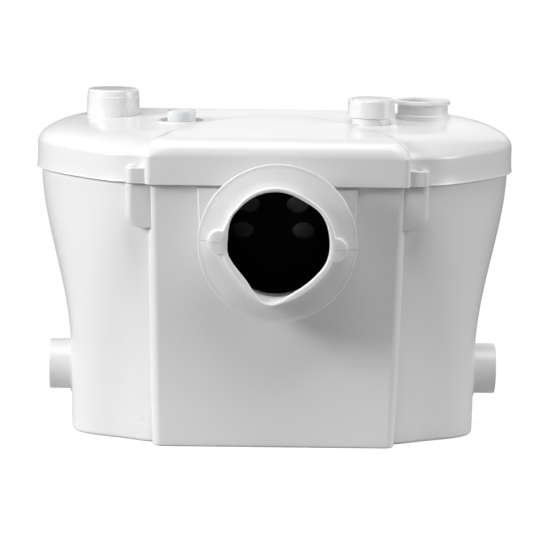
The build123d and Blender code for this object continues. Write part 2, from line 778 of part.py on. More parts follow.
with BuildPart() as motor_screws:
    for angle in flange_angles:
        x, y = around_axis(angle, flange_screw_ring)
        add(upright(x, y, deck_z - 2, cap_flange_z + 1, screw_radius))
        add(upright(x, y, cap_flange_z, cap_flange_z + head_height, screw_head))
finish(motor_screws, "motor_screws")

with BuildPart() as stator:
    with BuildSketch(Plane.XY.offset(stator_low_z)):
        with Locations((0, axis_y)):
            Circle(can_radius - can_wall - 0.05)
            Circle(rotor_radius + 0.6, mode=Mode.SUBTRACT)
            with PolarLocations(rotor_radius + 7, stator_slots):
                Rectangle(*stator_slot, mode=Mode.SUBTRACT)
    extrude(amount=stator_high_z - stator_low_z)
finish(stator, "stator")

with BuildPart() as windings:
    for low in (stator_low_z - winding_height - 0.2, stator_high_z + 0.2):
        add(upright(0, axis_y, low, low + winding_height, can_radius - 4, rotor_radius + 3))
    fillet(windings.edges().filter_by(GeomType.CIRCLE), 4)
finish(windings, "windings")

with BuildPart() as rotor:
    add(upright(0, axis_y, stator_low_z - 2, stator_high_z + 2, rotor_radius, shaft_radius + press_gap))
    for low in (stator_low_z - 2 - rotor_ring, stator_high_z + 2):
        add(upright(0, axis_y, low, low + rotor_ring, rotor_radius - rotor_ring, shaft_radius + press_gap))
finish(rotor, "rotor")

with BuildPart() as shaft:
    add(upright(0, axis_y, shaft_low_z, shaft_high_z, shaft_radius))
    chamfer(shaft.edges().filter_by(GeomType.CIRCLE), 0.8)
finish(shaft, "shaft")

for name, low in (("lower_bearing", can_inner_z), ("upper_bearing", upper_bearing_z)):
    with BuildPart() as bearing:
        add(upright(0, axis_y, low, low + bearing_height, bearing_radius, shaft_radius + bore_clearance))
        with BuildSketch(Plane.XY.offset(low + bearing_height)):
            with Locations((0, axis_y)):
                Circle(bearing_radius - race_step[0])
                Circle(bearing_radius - race_step[1], mode=Mode.SUBTRACT)
        extrude(amount=-1, mode=Mode.SUBTRACT)
    finish(bearing, name)

with BuildPart() as shaft_seal:
    add(upright(0, axis_y, can_low_z, can_inner_z, seal_radius, shaft_radius + bore_clearance))
finish(shaft_seal, "shaft_seal")

# Cutter blade and its nut
with BuildPart() as cutter_blade:
    add(upright(0, axis_y, blade_z - blade_thickness, blade_z + 2 * blade_thickness, blade_hub_radius))
    with BuildSketch(Plane.XY.offset(blade_z)):
        with Locations((0, axis_y)):
            SlotOverall(2 * blade_reach, blade_width)
    extrude(amount=blade_thickness)
    chamfer(cutter_blade.faces().filter_by(Axis.Z).sort_by(Axis.Z)[-2].edges().filter_by(GeomType.LINE), 1.2)
    add(upright(0, axis_y, blade_z - 4, blade_z + 7, shaft_radius + press_gap), mode=Mode.SUBTRACT)
finish(cutter_blade, "cutter_blade")

with BuildPart() as cutter_nut:
    with BuildSketch(Plane.XY.offset(blade_z - 8)):
        with Locations((0, axis_y)):
            RegularPolygon(nut_across, 6)
            Circle(shaft_radius + press_gap, mode=Mode.SUBTRACT)
    extrude(amount=5)
finish(cutter_nut, "cutter_nut")

# Pump: housing with its outlet stub, suction cover, impeller, nut and tie bolts
impeller_low_z = pump_low_z + 10
impeller_top_z = impeller_low_z + impeller_height
cover_top_z = pump_low_z + pump_wall
with BuildPart() as pump_housing:
    add(upright(0, axis_y, cover_top_z, pump_top_z, basket_pot_radius))
    add(crosswise(outlet_y, hose_z, 20, stub_end_x, stub_radius))
    for angle in tie_angles:
        add(upright(*around_axis(angle, tie_radius), cover_top_z, cover_top_z + 8, tie_lug_radius))
    add(upright(0, axis_y, pump_low_z + 3, pump_top_z - pump_wall, basket_pot_radius - pump_wall), mode=Mode.SUBTRACT)
    add(crosswise(outlet_y, hose_z, 20, stub_end_x + over, stub_radius - 3), mode=Mode.SUBTRACT)
    add(upright(0, axis_y, pump_low_z, pump_top_z + over, shaft_radius + 0.1), mode=Mode.SUBTRACT)
    for angle in tie_angles:
        hole = upright(*around_axis(angle, tie_radius), pump_low_z, cover_top_z + 8 + over, tie_hole_radius)
        add(hole, mode=Mode.SUBTRACT)
finish(pump_housing, "pump_housing")

with BuildPart() as pump_cover:
    add(upright(0, axis_y, pump_low_z, cover_top_z, basket_pot_radius))
    for angle in tie_angles:
        add(upright(*around_axis(angle, tie_radius), pump_low_z, cover_top_z, tie_lug_radius))
    add(upright(0, axis_y, pump_low_z - over, cover_top_z + over, pump_eye), mode=Mode.SUBTRACT)
    for angle in tie_angles:
        hole = upright(*around_axis(angle, tie_radius), pump_low_z - over, cover_top_z + over, tie_hole_radius)
        add(hole, mode=Mode.SUBTRACT)
finish(pump_cover, "pump_cover")

with BuildPart() as impeller:
    with BuildSketch(Plane.XY.offset(impeller_low_z)):
        with Locations((0, axis_y)):
            with PolarLocations(22, impeller_vanes):
                Rectangle(*impeller_vane)
            Circle(10)
    extrude(amount=impeller_height)
    disc_radius, disc_height = impeller_disc
    add(upright(0, axis_y, impeller_top_z, impeller_top_z + disc_height, disc_radius))
    add(upright(0, axis_y, impeller_low_z - over, impeller_top_z + 4, shaft_radius + press_gap), mode=Mode.SUBTRACT)
finish(impeller, "impeller")

with BuildPart() as impeller_nut:
    with BuildSketch(Plane.XY.offset(impeller_low_z - nut_height)):
        with Locations((0, axis_y)):
            RegularPolygon(nut_across, 6)
            Circle(shaft_radius + press_gap, mode=Mode.SUBTRACT)
    extrude(amount=nut_height)
finish(impeller_nut, "impeller_nut")

with BuildPart() as tie_bolts:
    for angle in tie_angles:
        x, y = around_axis(angle, tie_radius)
        add(upright(x, y, pump_low_z - 1, tie_top_z + 5, tie_bolt_radius))
        add(upright(x, y, pump_low_z - 4, pump_low_z, tie_head_radius))
        add(upright(x, y, tie_top_z, tie_top_z + 4, tie_head_radius))
finish(tie_bolts, "tie_bolts")

# Discharge: hose from the pump to the non-return valve, with a clip at each end
with BuildPart() as discharge_hose:
    with BuildLine(Plane(origin=(0, outlet_y, 0), x_dir=(1, 0, 0), z_dir=(0, -1, 0))):
        FilletPolyline(
            (stub_end_x - 16, hose_z),
            (outlet_x, hose_z),
            (outlet_x, valve_low_z + 14),
            radius=hose_bend,
        )
    with BuildSketch(Plane.YZ.offset(stub_end_x - 16)):
        with Locations((outlet_y, hose_z)):
            Circle(hose_radius)
            Circle(stub_radius + 0.1, mode=Mode.SUBTRACT)
    sweep()
finish(discharge_hose, "discharge_hose")

with BuildPart() as hose_clips:
    outer, inner = hose_radius + clip_thickness, hose_radius + 0.05
    add(crosswise(outlet_y, hose_z, stub_end_x - 12, stub_end_x - 12 + clip_width, outer, inner))
    add(upright(outlet_x, outlet_y, valve_low_z + 3, valve_low_z + 3 + clip_width, outer, inner))
finish(hose_clips, "hose_clips")

# Non-return valve: body, its hinged flap and the seal that meets the lid's socket
seat_z = valve_low_z + 20
with BuildPart() as check_valve:
    add(upright(outlet_x, outlet_y, valve_low_z, seat_z, stub_radius))
    add(upright(outlet_x, outlet_y, valve_low_z + valve_step, valve_high_z, valve_radius))
    add(upright(outlet_x, outlet_y, flange_z, flange_z + 3, valve_radius + 4))
    add(upright(outlet_x, outlet_y, valve_low_z - over, seat_z + over, stub_radius - 3.5), mode=Mode.SUBTRACT)
    add(upright(outlet_x, outlet_y, seat_z, valve_high_z + over, valve_radius - valve_wall), mode=Mode.SUBTRACT)
    add(upright(outlet_x, outlet_y, seal_z, seal_z + 3, valve_radius + 1, valve_radius - 1.5), mode=Mode.SUBTRACT)
    for end in (-1, 1):
        low, high = sorted((outlet_y + end * 5.6, outlet_y + end * 8.5))
        add(block(outlet_x - 15.5, outlet_x - 11, low, high, seat_z, seat_z + 4.6))
    add(fore_and_aft(outlet_x - valve_hinge, seat_z + 2, outlet_y - 9, outlet_y + 9, 1.05), mode=Mode.SUBTRACT)
finish(check_valve, "check_valve")

with BuildPart() as check_flap:
    add(upright(outlet_x, outlet_y, seat_z + 0.3, seat_z + 0.3 + flap_thickness, flap_radius))
    add(block(outlet_x - valve_hinge, outlet_x - 8, outlet_y - 5, outlet_y + 5, seat_z + 0.7, seat_z + 2.3))
    add(fore_and_aft(outlet_x - valve_hinge, seat_z + 2, outlet_y - 5.2, outlet_y + 5.2, 1.5))
    add(fore_and_aft(outlet_x - valve_hinge, seat_z + 2, outlet_y - 8, outlet_y + 8, 1.0))
finish(check_flap, "check_flap")

with BuildPart() as outlet_seal:
    add(upright(outlet_x, outlet_y, seal_z + 0.2, seal_z + 2.8, valve_radius + 0.15, valve_radius - 1.45))
finish(outlet_seal, "outlet_seal")

# Side inlets: a seat ring and a hinged flap on the inner end of each stub
hinge_z = side_z + hinge_rise
for name, side in (("left", -1), ("right", 1)):
    ring_x = side_inner_x - seat_ring
    ring_low, ring_high = sorted((side * side_inner_x, side * ring_x))
    disc_low, disc_high = sorted((side * (ring_x - flap_gap), side * (ring_x - flap_thickness - flap_gap)))
    hinge_x = side * (ring_x - flap_thickness / 2 - flap_gap)
    ear_low, ear_high = sorted((side * (side_inner_x - 2), side * (side_inner_x - 7)))
    with BuildPart() as flap_seat:
        add(crosswise(side_y, side_z, ring_low, ring_high, side_outer, seat_bore))
        for end in (-1, 1):
            low, high = sorted((side_y + end * 8.4, side_y + end * 11.4))
            add(block(ear_low, ear_high, low, high, hinge_z - 4, hinge_z + 3))
        add(fore_and_aft(hinge_x, hinge_z, side_y - 12, side_y + 12, pin_radius + bore_clearance), mode=Mode.SUBTRACT)
    finish(flap_seat, f"{name}_flap_seat")
    with BuildPart() as flap:
        add(crosswise(side_y, side_z, disc_low, disc_high, side_flap_radius))
        add(block(disc_low, disc_high, side_y - 6, side_y + 6, side_z + 10, hinge_z))
        add(fore_and_aft(hinge_x, hinge_z, side_y - 8, side_y + 8, hinge_hub))
        add(fore_and_aft(hinge_x, hinge_z, side_y - 11, side_y + 11, pin_radius))
    finish(flap, f"{name}_flap")

# Level switch: air tube, diaphragm, cover, pusher and microswitch
level_top_z = flange_z + flange_thickness
with BuildPart() as pressure_tube:
    add(upright(level_x, level_y, level_low_z, level_top_z, level_radius))
    add(upright(level_x, level_y, flange_z, level_top_z, level_cap_radius))
    add(upright(level_x, level_y, level_low_z - over, level_top_z + over, level_radius - 2), mode=Mode.SUBTRACT)
finish(pressure_tube, "pressure_tube")

cover_z = level_top_z + diaphragm_thickness
with BuildPart() as diaphragm:
    add(upright(level_x, level_y, level_top_z, cover_z, level_cap_radius - 1))
finish(diaphragm, "diaphragm")

cover_top_z = cover_z + cover_height
with BuildPart() as switch_cover:
    add(upright(level_x, level_y, cover_z, cover_top_z, level_cap_radius))
    add(upright(level_x, level_y, cover_z - over, cover_top_z - 3, level_cap_radius - 4), mode=Mode.SUBTRACT)
    add(upright(level_x, level_y, cover_z, cover_top_z + over, pusher_radius + 0.1), mode=Mode.SUBTRACT)
    for end in (-1, 1):
        add(upright(level_x + end * 11, level_y, cover_top_z, cover_top_z + post_height, 2))
finish(switch_cover, "switch_cover")

with BuildPart() as switch_pusher:
    add(upright(level_x, level_y, cover_z + 0.3, cover_z + 2.5, pusher_foot))
    add(upright(level_x, level_y, cover_z + 0.3, cover_top_z + 3, pusher_radius))
finish(switch_pusher, "switch_pusher")

switch_low_z = cover_top_z + post_height
with BuildPart() as microswitch:
    top_z = switch_low_z + switch_height
    add(block(level_x - switch_half, level_x + switch_half, level_y - 5, level_y + 5, switch_low_z, top_z))
    for shift in terminal_pitches:
        add(block(level_x + shift - 1.5, level_x + shift + 1.5, level_y - 0.4, level_y + 0.4, top_z, top_z + 4))
finish(microswitch, "microswitch")

# Electrical parts on the deck
with BuildPart() as capacitor:
    top_z = flange_z + capacitor_height
    add(upright(capacitor_x, capacitor_y, flange_z, top_z, capacitor_radius))
    fillet(capacitor.faces().sort_by(Axis.Z)[-1].edges(), 2)
    for tab_x in (capacitor_x - 5, capacitor_x + 5):
        add(block(tab_x - 2.5, tab_x + 2.5, capacitor_y - 0.5, capacitor_y + 0.5, top_z, tab_top_z))
finish(capacitor, "capacitor")

with BuildPart() as terminal_block:
    top_z = flange_z + terminal_height
    add(block(terminal_low_x, terminal_high_x, terminal_low_y, terminal_high_y, flange_z, top_z))
    middle_x, middle_y = (terminal_low_x + terminal_high_x) / 2, (terminal_low_y + terminal_high_y) / 2
    for shift in (-terminal_height, 0, terminal_height):
        add(upright(middle_x + shift, middle_y, top_z - 4, top_z + over, 2.6), mode=Mode.SUBTRACT)
finish(terminal_block, "terminal_block")

# Cable gland in the back wall, and its lock nut inside
with BuildPart() as cable_gland:
    add(fore_and_aft(gland_x, gland_z, back_y - 14, back_y, gland_thread))
    with BuildSketch(Plane.XZ.offset(-back_y)):
        with Locations((gland_x, gland_z)):
            RegularPolygon(gland_across, 6)
    extrude(amount=-gland_hex)
    add(fore_and_aft(gland_x, gland_z, back_y + gland_hex - 1, gland_dome_y, gland_dome_radius))
    fillet(cable_gland.faces().sort_by(Axis.Y)[-1].edges(), 3)
    add(fore_and_aft(gland_x, gland_z, back_y - 15, gland_dome_y + over, cable_radius), mode=Mode.SUBTRACT)
finish(cable_gland, "cable_gland")

with BuildPart() as gland_nut:
    with BuildSketch(Plane.XZ.offset(-back_y + wall)):
        with Locations((gland_x, gland_z)):
            RegularPolygon(gland_across, 6)
            Circle(gland_thread + bore_clearance, mode=Mode.SUBTRACT)
    extrude(amount=gland_hex)
finish(gland_nut, "gland_nut")

# Vent cap with its charcoal filter and seal, at the left of the lid
with BuildPart() as vent_cap:
    with BuildSketch(Plane(origin=(vent_x, vent_y, 0), x_dir=(1, 0, 0), z_dir=(0, -1, 0))):
        with BuildLine():
            Polyline(
                (0, vent_top_z),
                (vent_top_radius - vent_rim_round, vent_top_z),
                (vent_top_radius, vent_top_z - vent_rim_round),
                (cap_radius_left - 0.7, vent_ridge_z),
                (cap_radius_left - 0.2, vent_ridge_z - 0.6),
                (cap_radius_left, vent_seat_z + 0.3),
                (neck_outer + 0.4, vent_seat_z + 0.3),
                (neck_outer + 0.4, vent_neck_z + seal_height + 0.1),
                (0, vent_neck_z + seal_height + 0.1),
                close=True,
            )
        make_face()
    revolve(axis=Axis((vent_x, vent_y, 0), (0, 0, 1)))
finish(vent_cap, "vent_cap")

with BuildPart() as vent_filter:
    add(upright(vent_x, vent_y, vent_neck_low_z, vent_neck_z - 2, neck_inner - 0.3))
finish(vent_filter, "vent_filter")

with BuildPart() as vent_seal:
    add(upright(vent_x, vent_y, vent_neck_z, vent_neck_z + seal_height, neck_outer, neck_inner + 0.4))
finish(vent_seal, "vent_seal")

# Cap on the right-hand neck, with its seal
with BuildPart() as inlet_cap:
    add(upright(neck_x, neck_y, cap_low_z, cap_top_z, cap_radius_right))
    fillet(inlet_cap.faces().sort_by(Axis.Z)[-1].edges(), 1.4)
    pocket = upright(neck_x, neck_y, cap_low_z - 1, neck_top_z + seal_height + 0.1, neck_outer + 0.4)
    add(pocket, mode=Mode.SUBTRACT)
finish(inlet_cap, "inlet_cap")

with BuildPart() as inlet_cap_seal:
    add(upright(neck_x, neck_y, neck_top_z, neck_top_z + seal_height, neck_outer, neck_inner + 0.4))
finish(inlet_cap_seal, "inlet_cap_seal")

# Push button: clear cap, plunger, return spring and its switch
button_low_z = recess_z + button_travel + 0.3
with BuildPart() as button_cap:
    add(upright(button_x, button_y, button_low_z, button_top_z, button_radius))
    fillet(button_cap.faces().sort_by(Axis.Z)[-1].edges(), 1.0)
    add(upright(button_x, button_y, button_low_z - 1, button_top_z - 1.8, button_radius - 1.5), mode=Mode.SUBTRACT)
    add(upright(button_x, button_y, button_top_z - 0.7, button_top_z + 1, button_radius - 3), mode=Mode.SUBTRACT)
finish(button_cap, "button_cap")

with BuildPart() as button_plunger:
    add(upright(button_x, button_y, button_low_z + 0.2, button_low_z + 2, button_radius - 1.7))
    add(upright(button_x, button_y, button_low_z + 1, button_top_z - 1.9, 4.5))
    add(upright(button_x, button_y, switch_top_z + 3.5, button_low_z + 1, stem_radius))
finish(button_plunger, "button_plunger")

spring_low_z = well_z + spring_wire + 0.05
spring_height = button_low_z + 0.2 - well_z - 2 * spring_wire - 0.1
with BuildPart() as button_spring:
    with BuildLine(Plane(origin=(button_x, button_y, spring_low_z))):
        Helix(pitch=spring_height / spring_turns, height=spring_height, radius=spring_radius)
    with BuildSketch(Plane(origin=(button_x + spring_radius, button_y, spring_low_z), z_dir=(0, 1, 0.06))):
        Circle(spring_wire)
    sweep(is_frenet=True)
finish(button_spring, "button_spring")

with BuildPart() as button_switch:
    add(block(button_x - 13, button_x + 13, button_y - 6, button_y + 6, switch_top_z - 10, switch_top_z))
    add(upright(button_x, button_y, switch_top_z, switch_top_z + 0.4, 2.5))
finish(button_switch, "button_switch")
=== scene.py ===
from math import cos, hypot, pi, radians, sin, sqrt, tan

import bmesh
import bpy
import numpy as np
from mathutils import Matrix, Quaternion, Vector


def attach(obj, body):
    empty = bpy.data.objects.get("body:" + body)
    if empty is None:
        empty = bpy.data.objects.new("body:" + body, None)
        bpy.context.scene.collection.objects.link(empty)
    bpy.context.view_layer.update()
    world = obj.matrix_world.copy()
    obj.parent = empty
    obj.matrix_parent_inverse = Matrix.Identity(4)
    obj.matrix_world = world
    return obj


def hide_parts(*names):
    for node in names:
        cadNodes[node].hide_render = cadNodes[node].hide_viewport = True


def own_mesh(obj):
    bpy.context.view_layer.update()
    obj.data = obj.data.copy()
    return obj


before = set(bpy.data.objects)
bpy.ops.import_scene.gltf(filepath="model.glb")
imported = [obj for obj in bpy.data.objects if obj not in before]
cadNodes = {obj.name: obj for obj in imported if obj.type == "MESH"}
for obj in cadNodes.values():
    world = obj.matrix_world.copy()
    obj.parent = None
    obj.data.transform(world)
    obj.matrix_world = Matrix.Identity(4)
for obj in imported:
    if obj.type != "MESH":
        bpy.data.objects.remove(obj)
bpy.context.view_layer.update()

# Sizes in this script are millimetres, turned into metres when a mesh is made.
mm = 0.001
scene = bpy.context.scene
print("frame loaded:", len(cadNodes), "CAD nodes")


# Mesh tools

def makeObject(name, points, faces):
    mesh = bpy.data.meshes.new(name)
    mesh.from_pydata([(x * mm, y * mm, z * mm) for x, y, z in points], [], faces)
    obj = bpy.data.objects.new(name, mesh)
    scene.collection.objects.link(obj)
    tidyMesh(obj)
    return obj


def tidyMesh(obj, merge=0.002):
    # joins doubled points and turns every face outwards
    work = bmesh.new()
    work.from_mesh(obj.data)
    bmesh.ops.remove_doubles(work, verts=work.verts, dist=merge * mm)
    bmesh.ops.recalc_face_normals(work, faces=work.faces)
    work.to_mesh(obj.data)
    work.free()


def skinRings(name, rings, hoop=False):
    # skin over a stack of closed rings, capped at both ends or closed into a hoop
    count = len(rings[0])
    points = [point for ring in rings for point in ring]
    faces = []
    spans = len(rings) if hoop else len(rings) - 1
    for level in range(spans):
        low, high = level * count, ((level + 1) % len(rings)) * count
        for i in range(count):
            j = (i + 1) % count
            faces.append((low + i, low + j, high + j, high + i))
    if not hoop:
        faces.append(tuple(reversed(range(count))))
        faces.append(tuple(range((len(rings) - 1) * count, len(rings) * count)))
    return makeObject(name, points, faces)


def atHeight(outline, z):
    return [(x, y, z) for x, y in outline]


def rounded(corners, steps=5, closed=True):
    # corners are (u, v, radius); each corner with a radius turns into a true arc
    out = []
    last = len(corners) - 1
    for i, (u, v, radius) in enumerate(corners):
        here = Vector((u, v))
        if not radius or (not closed and i in (0, last)):
            out.append((u, v))
            continue
        toBefore = Vector(corners[i - 1][:2]) - here
        toAfter = Vector(corners[(i + 1) % (last + 1)][:2]) - here
        half = toBefore.angle(toAfter) / 2
        cut = min(radius / tan(half), toBefore.length * 0.49, toAfter.length * 0.49)
        start, end = here + toBefore.normalized() * cut, here + toAfter.normalized() * cut
        weight = sin(half)
        for step in range(steps + 1):
            t = step / steps
            a, b, c = (1 - t) ** 2, 2 * weight * t * (1 - t), t * t
            out.append(tuple((start * a + here * b + end * c) / (a + b + c)))
    return out


def lathe(name, profile, centre, axis="z", steps=96, hoop=True):
    # turns a (radius, along) profile about an axis; centre holds the two other coordinates
    rings = []
    for radius, along in profile:
        ring = []
        for i in range(steps):
            a, b = radius * cos(2 * pi * i / steps), radius * sin(2 * pi * i / steps)
            if axis == "z":
                ring.append((centre[0] + a, centre[1] + b, along))
            elif axis == "y":
                ring.append((centre[0] + a, along, centre[1] + b))
            else:
                ring.append((along, centre[0] + a, centre[1] + b))
        rings.append(ring)
    return skinRings(name, rings, hoop)


def rod(name, centre, low, high, radius, axis="z", steps=64):
    # plain round cutter for a hole
    return lathe(name, [(radius, low), (radius, high)], centre, axis, steps, hoop=False)


def tube(name, centre, low, high, outer, inner, axis="z", soft=0.5, steps=96):
    # tube with softened rims
    corners = [(inner, low, soft), (outer, low, soft), (outer, high, soft), (inner, high, soft)]
    return lathe(name, rounded(corners), centre, axis, steps)


def prism(name, outline, levels):
    return skinRings(name, [[(x, y, z) for x, y in outline] for z in levels])


def box(name, low, high):
    (a, b, c), (d, e, f) = low, high
    return prism(name, [(a, b), (d, b), (d, e), (a, e)], (c, f))


def joined(pieces):
    # several pieces that don't touch, as one operand
    first = pieces[0]
    work = bmesh.new()
    for piece in pieces:
        work.from_mesh(piece.data)
    work.to_mesh(first.data)
    work.free()
    for piece in pieces[1:]:
        bpy.data.objects.remove(piece)
    return first


def combine(base, other, operation):
    # exact boolean, baked into the base piece's mesh
    step = base.modifiers.new("cut", "BOOLEAN")
    step.operation = operation
    step.solver = "EXACT"
    step.object = other
    graph = bpy.context.evaluated_depsgraph_get()
    baked = bpy.data.meshes.new_from_object(base.evaluated_get(graph))
    base.modifiers.clear()
    base.data = baked
    bpy.data.objects.remove(other)
    return base


def cut(base, other):
    return combine(base, other, "DIFFERENCE")


def unite(base, other):
    return combine(base, other, "UNION")


def smoothShade(obj, angle=32, weighted=True):
    obj.data.polygons.foreach_set("use_smooth", [True] * len(obj.data.polygons))
    obj.data.set_sharp_from_angle(angle=radians(angle))
    if weighted:
        normals = obj.modifiers.new("faceNormals", "WEIGHTED_NORMAL")
        normals.keep_sharp = True


def finishPiece(obj, body, slotName, nodes, angle=32, weighted=True):
    tidyMesh(obj, 0.01)
    obj.data.materials.clear()
    obj.data.materials.append(finishes[slotName])
    smoothShade(obj, angle, weighted)
    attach(obj, body)
    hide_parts(*nodes)
    print("piece ready:", obj.name, len(obj.data.polygons), "faces")


def curveThrough(points, startDir, endDir, steps):
    # smooth plane curve through points with given end directions, by chord length
    pts = np.array(points, float)
    chord = np.concatenate(([0], np.cumsum(np.hypot(*np.diff(pts, axis=0).T))))
    gap = np.diff(chord)
    size = len(pts)
    matrix, right = np.zeros((size, size)), np.zeros((size, 2))
    matrix[0, 0] = matrix[-1, -1] = 1
    right[0], right[-1] = startDir, endDir
    for i in range(1, size - 1):
        matrix[i, i - 1:i + 2] = gap[i], 2 * (gap[i - 1] + gap[i]), gap[i - 1]
        before = gap[i] * (pts[i] - pts[i - 1]) / gap[i - 1]
        after = gap[i - 1] * (pts[i + 1] - pts[i]) / gap[i]
        right[i] = 3 * (before + after)
    slope = np.linalg.solve(matrix, right)
    out = []
    for s in np.linspace(0, chord[-1], steps):
        i = min(np.searchsorted(chord, s, side="right") - 1, size - 2)
        t = (s - chord[i]) / gap[i]
        a, b = 2 * t ** 3 - 3 * t ** 2 + 1, t ** 3 - 2 * t ** 2 + t
        c, d = 1 - a, t ** 3 - t ** 2
        point = a * pts[i] + b * gap[i] * slope[i] + c * pts[i + 1] + d * gap[i] * slope[i + 1]
        out.append((float(point[0]), float(point[1])))
    return out


def aroundCircle(knots, angle):
    # smooth closed curve of a value given at some angles in degrees
    angles = [k[0] for k in knots]
    values = [k[1] for k in knots]
    n = len(knots)
    angle %= 360
    i = max([k for k in range(n) if angles[k] <= angle], default=n - 1)
    j = (i + 1) % n
    width = (angles[j] - angles[i]) % 360
    t = ((angle - angles[i]) % 360) / width

    def slopeAt(k):
        before, after = (k - 1) % n, (k + 1) % n
        return (values[after] - values[before]) / ((angles[after] - angles[before]) % 360)

    a, b = 2 * t ** 3 - 3 * t ** 2 + 1, t ** 3 - 2 * t ** 2 + t
    d = t ** 3 - t ** 2
    return a * values[i] + b * width * slopeAt(i) + (1 - a) * values[j] + d * width * slopeAt(j)


# Finishes

def newGroup(name, inputs, outputs):
    group = bpy.data.node_groups.new(name, "ShaderNodeTree")
    for label, value in inputs:
        socket = group.interface.new_socket(name=label, in_out="INPUT", socket_type="NodeSocketFloat")
        socket.default_value = value
    for label in outputs:
        group.interface.new_socket(name=label, in_out="OUTPUT", socket_type="NodeSocketFloat")
    return group, group.nodes.new("NodeGroupInput").outputs, group.nodes.new("NodeGroupOutput").inputs


def addNode(tree, kind, **settings):
    node = tree.nodes.new(kind)
    for key, value in settings.items():
        setattr(node, key, value)
    return node


def feed(tree, socket, value):
    # sets a number or a colour on a socket, or links an output to it
    if isinstance(value, tuple):
        socket.default_value = (*value, 1)
    elif isinstance(value, (int, float)):
        socket.default_value = value
    else:
        tree.links.new(value, socket)


def mathNode(tree, operation, first, second=None, third=None):
    node = addNode(tree, "ShaderNodeMath", operation=operation)
    for socket, value in zip(node.inputs, (first, second, third)):
        if value is not None:
            feed(tree, socket, value)
    return node.outputs[0]


def noiseNode(tree, vector, scale, detail=3.0, roughness=0.5):
    node = addNode(tree, "ShaderNodeTexNoise")
    node.inputs["Detail"].default_value = detail
    node.inputs["Roughness"].default_value = roughness
    tree.links.new(vector, node.inputs["Vector"])
    feed(tree, node.inputs["Scale"], scale)
    return node.outputs["Fac"]


def objectPlace(tree):
    return addNode(tree, "ShaderNodeTexCoord").outputs["Object"]


def splitNode(tree, vector):
    node = addNode(tree, "ShaderNodeSeparateXYZ")
    tree.links.new(vector, node.inputs[0])
    return node.outputs


def rangeNode(tree, value, low, high, toLow=0.0, toHigh=1.0):
    node = addNode(tree, "ShaderNodeMapRange")
    tree.links.new(value, node.inputs["Value"])
    for label, number in (("From Min", low), ("From Max", high), ("To Min", toLow), ("To Max", toHigh)):
        feed(tree, node.inputs[label], number)
    return node.outputs["Result"]


def buildMouldedGrain():
    # fine moulded grain over a slow ripple: a height, and a mask of slow tone changes
    group, given, result = newGroup(
        "mouldedGrain",
        [("Grain Size", 900.0), ("Ripple Size", 30.0), ("Ripple Share", 0.5)],
        ["Height", "Mottle"],
    )
    place = objectPlace(group)
    fine = noiseNode(group, place, given["Grain Size"], 2.0)
    slow = noiseNode(group, place, given["Ripple Size"], 3.0)
    mixed = mathNode(group, "MULTIPLY_ADD", slow, given["Ripple Share"], fine)
    group.links.new(mixed, result["Height"])
    group.links.new(rangeNode(group, slow, 0.1, 0.9), result["Mottle"])
    return group


def buildEdgeWearAndSheen():
    # brighter line where a surface turns sharply outwards, broken up by noise: rubbed wear on most finishes, a
    # painted edge highlight on the sleeve
    group, given, result = newGroup(
        "edgeWearAndSheen", [("Start", 0.52), ("End", 0.62), ("Break Up", 160.0)], ["Mask"]
    )
    turn = addNode(group, "ShaderNodeNewGeometry").outputs["Pointiness"]
    edge = rangeNode(group, turn, given["Start"], given["End"])
    place = objectPlace(group)
    patches = rangeNode(group, noiseNode(group, place, given["Break Up"], 4.0), 0.35, 0.65)
    group.links.new(mathNode(group, "MULTIPLY", edge, patches), result["Mask"])
    return group


def buildScuffs():
    # sparse streaks and flecks from handling
    group, given, result = newGroup(
        "handlingScuffs", [("Size", 30.0), ("Amount", 0.5)], ["Mask"]
    )
    place = objectPlace(group)
    total = None
    for turn, stretch in (((0.2, 0.5, 0.9), (1.0, 45.0, 1.0)), ((1.1, 0.2, 2.2), (38.0, 1.0, 1.0))):
        spin = addNode(group, "ShaderNodeMapping")
        spin.inputs["Rotation"].default_value = turn
        spin.inputs["Scale"].default_value = stretch
        group.links.new(place, spin.inputs["Vector"])
        field = noiseNode(group, spin.outputs["Vector"], given["Size"], 1.0, 0.4)
        line = rangeNode(group, field, 0.74, 0.80)
        total = line if total is None else mathNode(group, "MAXIMUM", total, line)
    group.links.new(mathNode(group, "MULTIPLY", total, given["Amount"]), result["Mask"])
    return group


def buildDust():
    # small settled specks, thicker on faces that look up
    group, given, result = newGroup(
        "dustSpecks", [("Size", 260.0), ("Amount", 0.5)], ["Mask"]
    )
    place = objectPlace(group)
    cells = addNode(group, "ShaderNodeTexVoronoi")
    group.links.new(place, cells.inputs["Vector"])
    group.links.new(given["Size"], cells.inputs["Scale"])
    dots = rangeNode(group, cells.outputs["Distance"], 0.06, 0.14, 1.0, 0.0)
    patches = rangeNode(group, noiseNode(group, place, 40.0, 4.0), 0.35, 0.85)
    facing = splitNode(group, addNode(group, "ShaderNodeNewGeometry").outputs["Normal"])
    upward = rangeNode(group, facing["Z"], 0.0, 1.0, 0.25, 1.0)
    mask = mathNode(group, "MULTIPLY", mathNode(group, "MULTIPLY", dots, patches), upward)
    group.links.new(mathNode(group, "MULTIPLY", mask, given["Amount"]), result["Mask"])
    return group


def buildPartingLine():
    # hairline left by a mould split, sloping across the piece at a height, outside a clear middle
    group, given, result = newGroup(
        "partingLine",
        [("Level", 0.1722), ("Slope", -0.05), ("Half Width", 0.00022), ("Clear Middle", 0.045)],
        ["Mask"],
    )
    at = splitNode(group, objectPlace(group))
    line = mathNode(group, "MULTIPLY_ADD", at["X"], given["Slope"], given["Level"])
    away = mathNode(group, "ABSOLUTE", mathNode(group, "SUBTRACT", at["Z"], line))
    near = mathNode(group, "LESS_THAN", away, given["Half Width"])
    sideways = mathNode(group, "ABSOLUTE", at["X"])
    outside = mathNode(group, "GREATER_THAN", sideways, given["Clear Middle"])
    group.links.new(mathNode(group, "MULTIPLY", near, outside), result["Mask"])
    return group


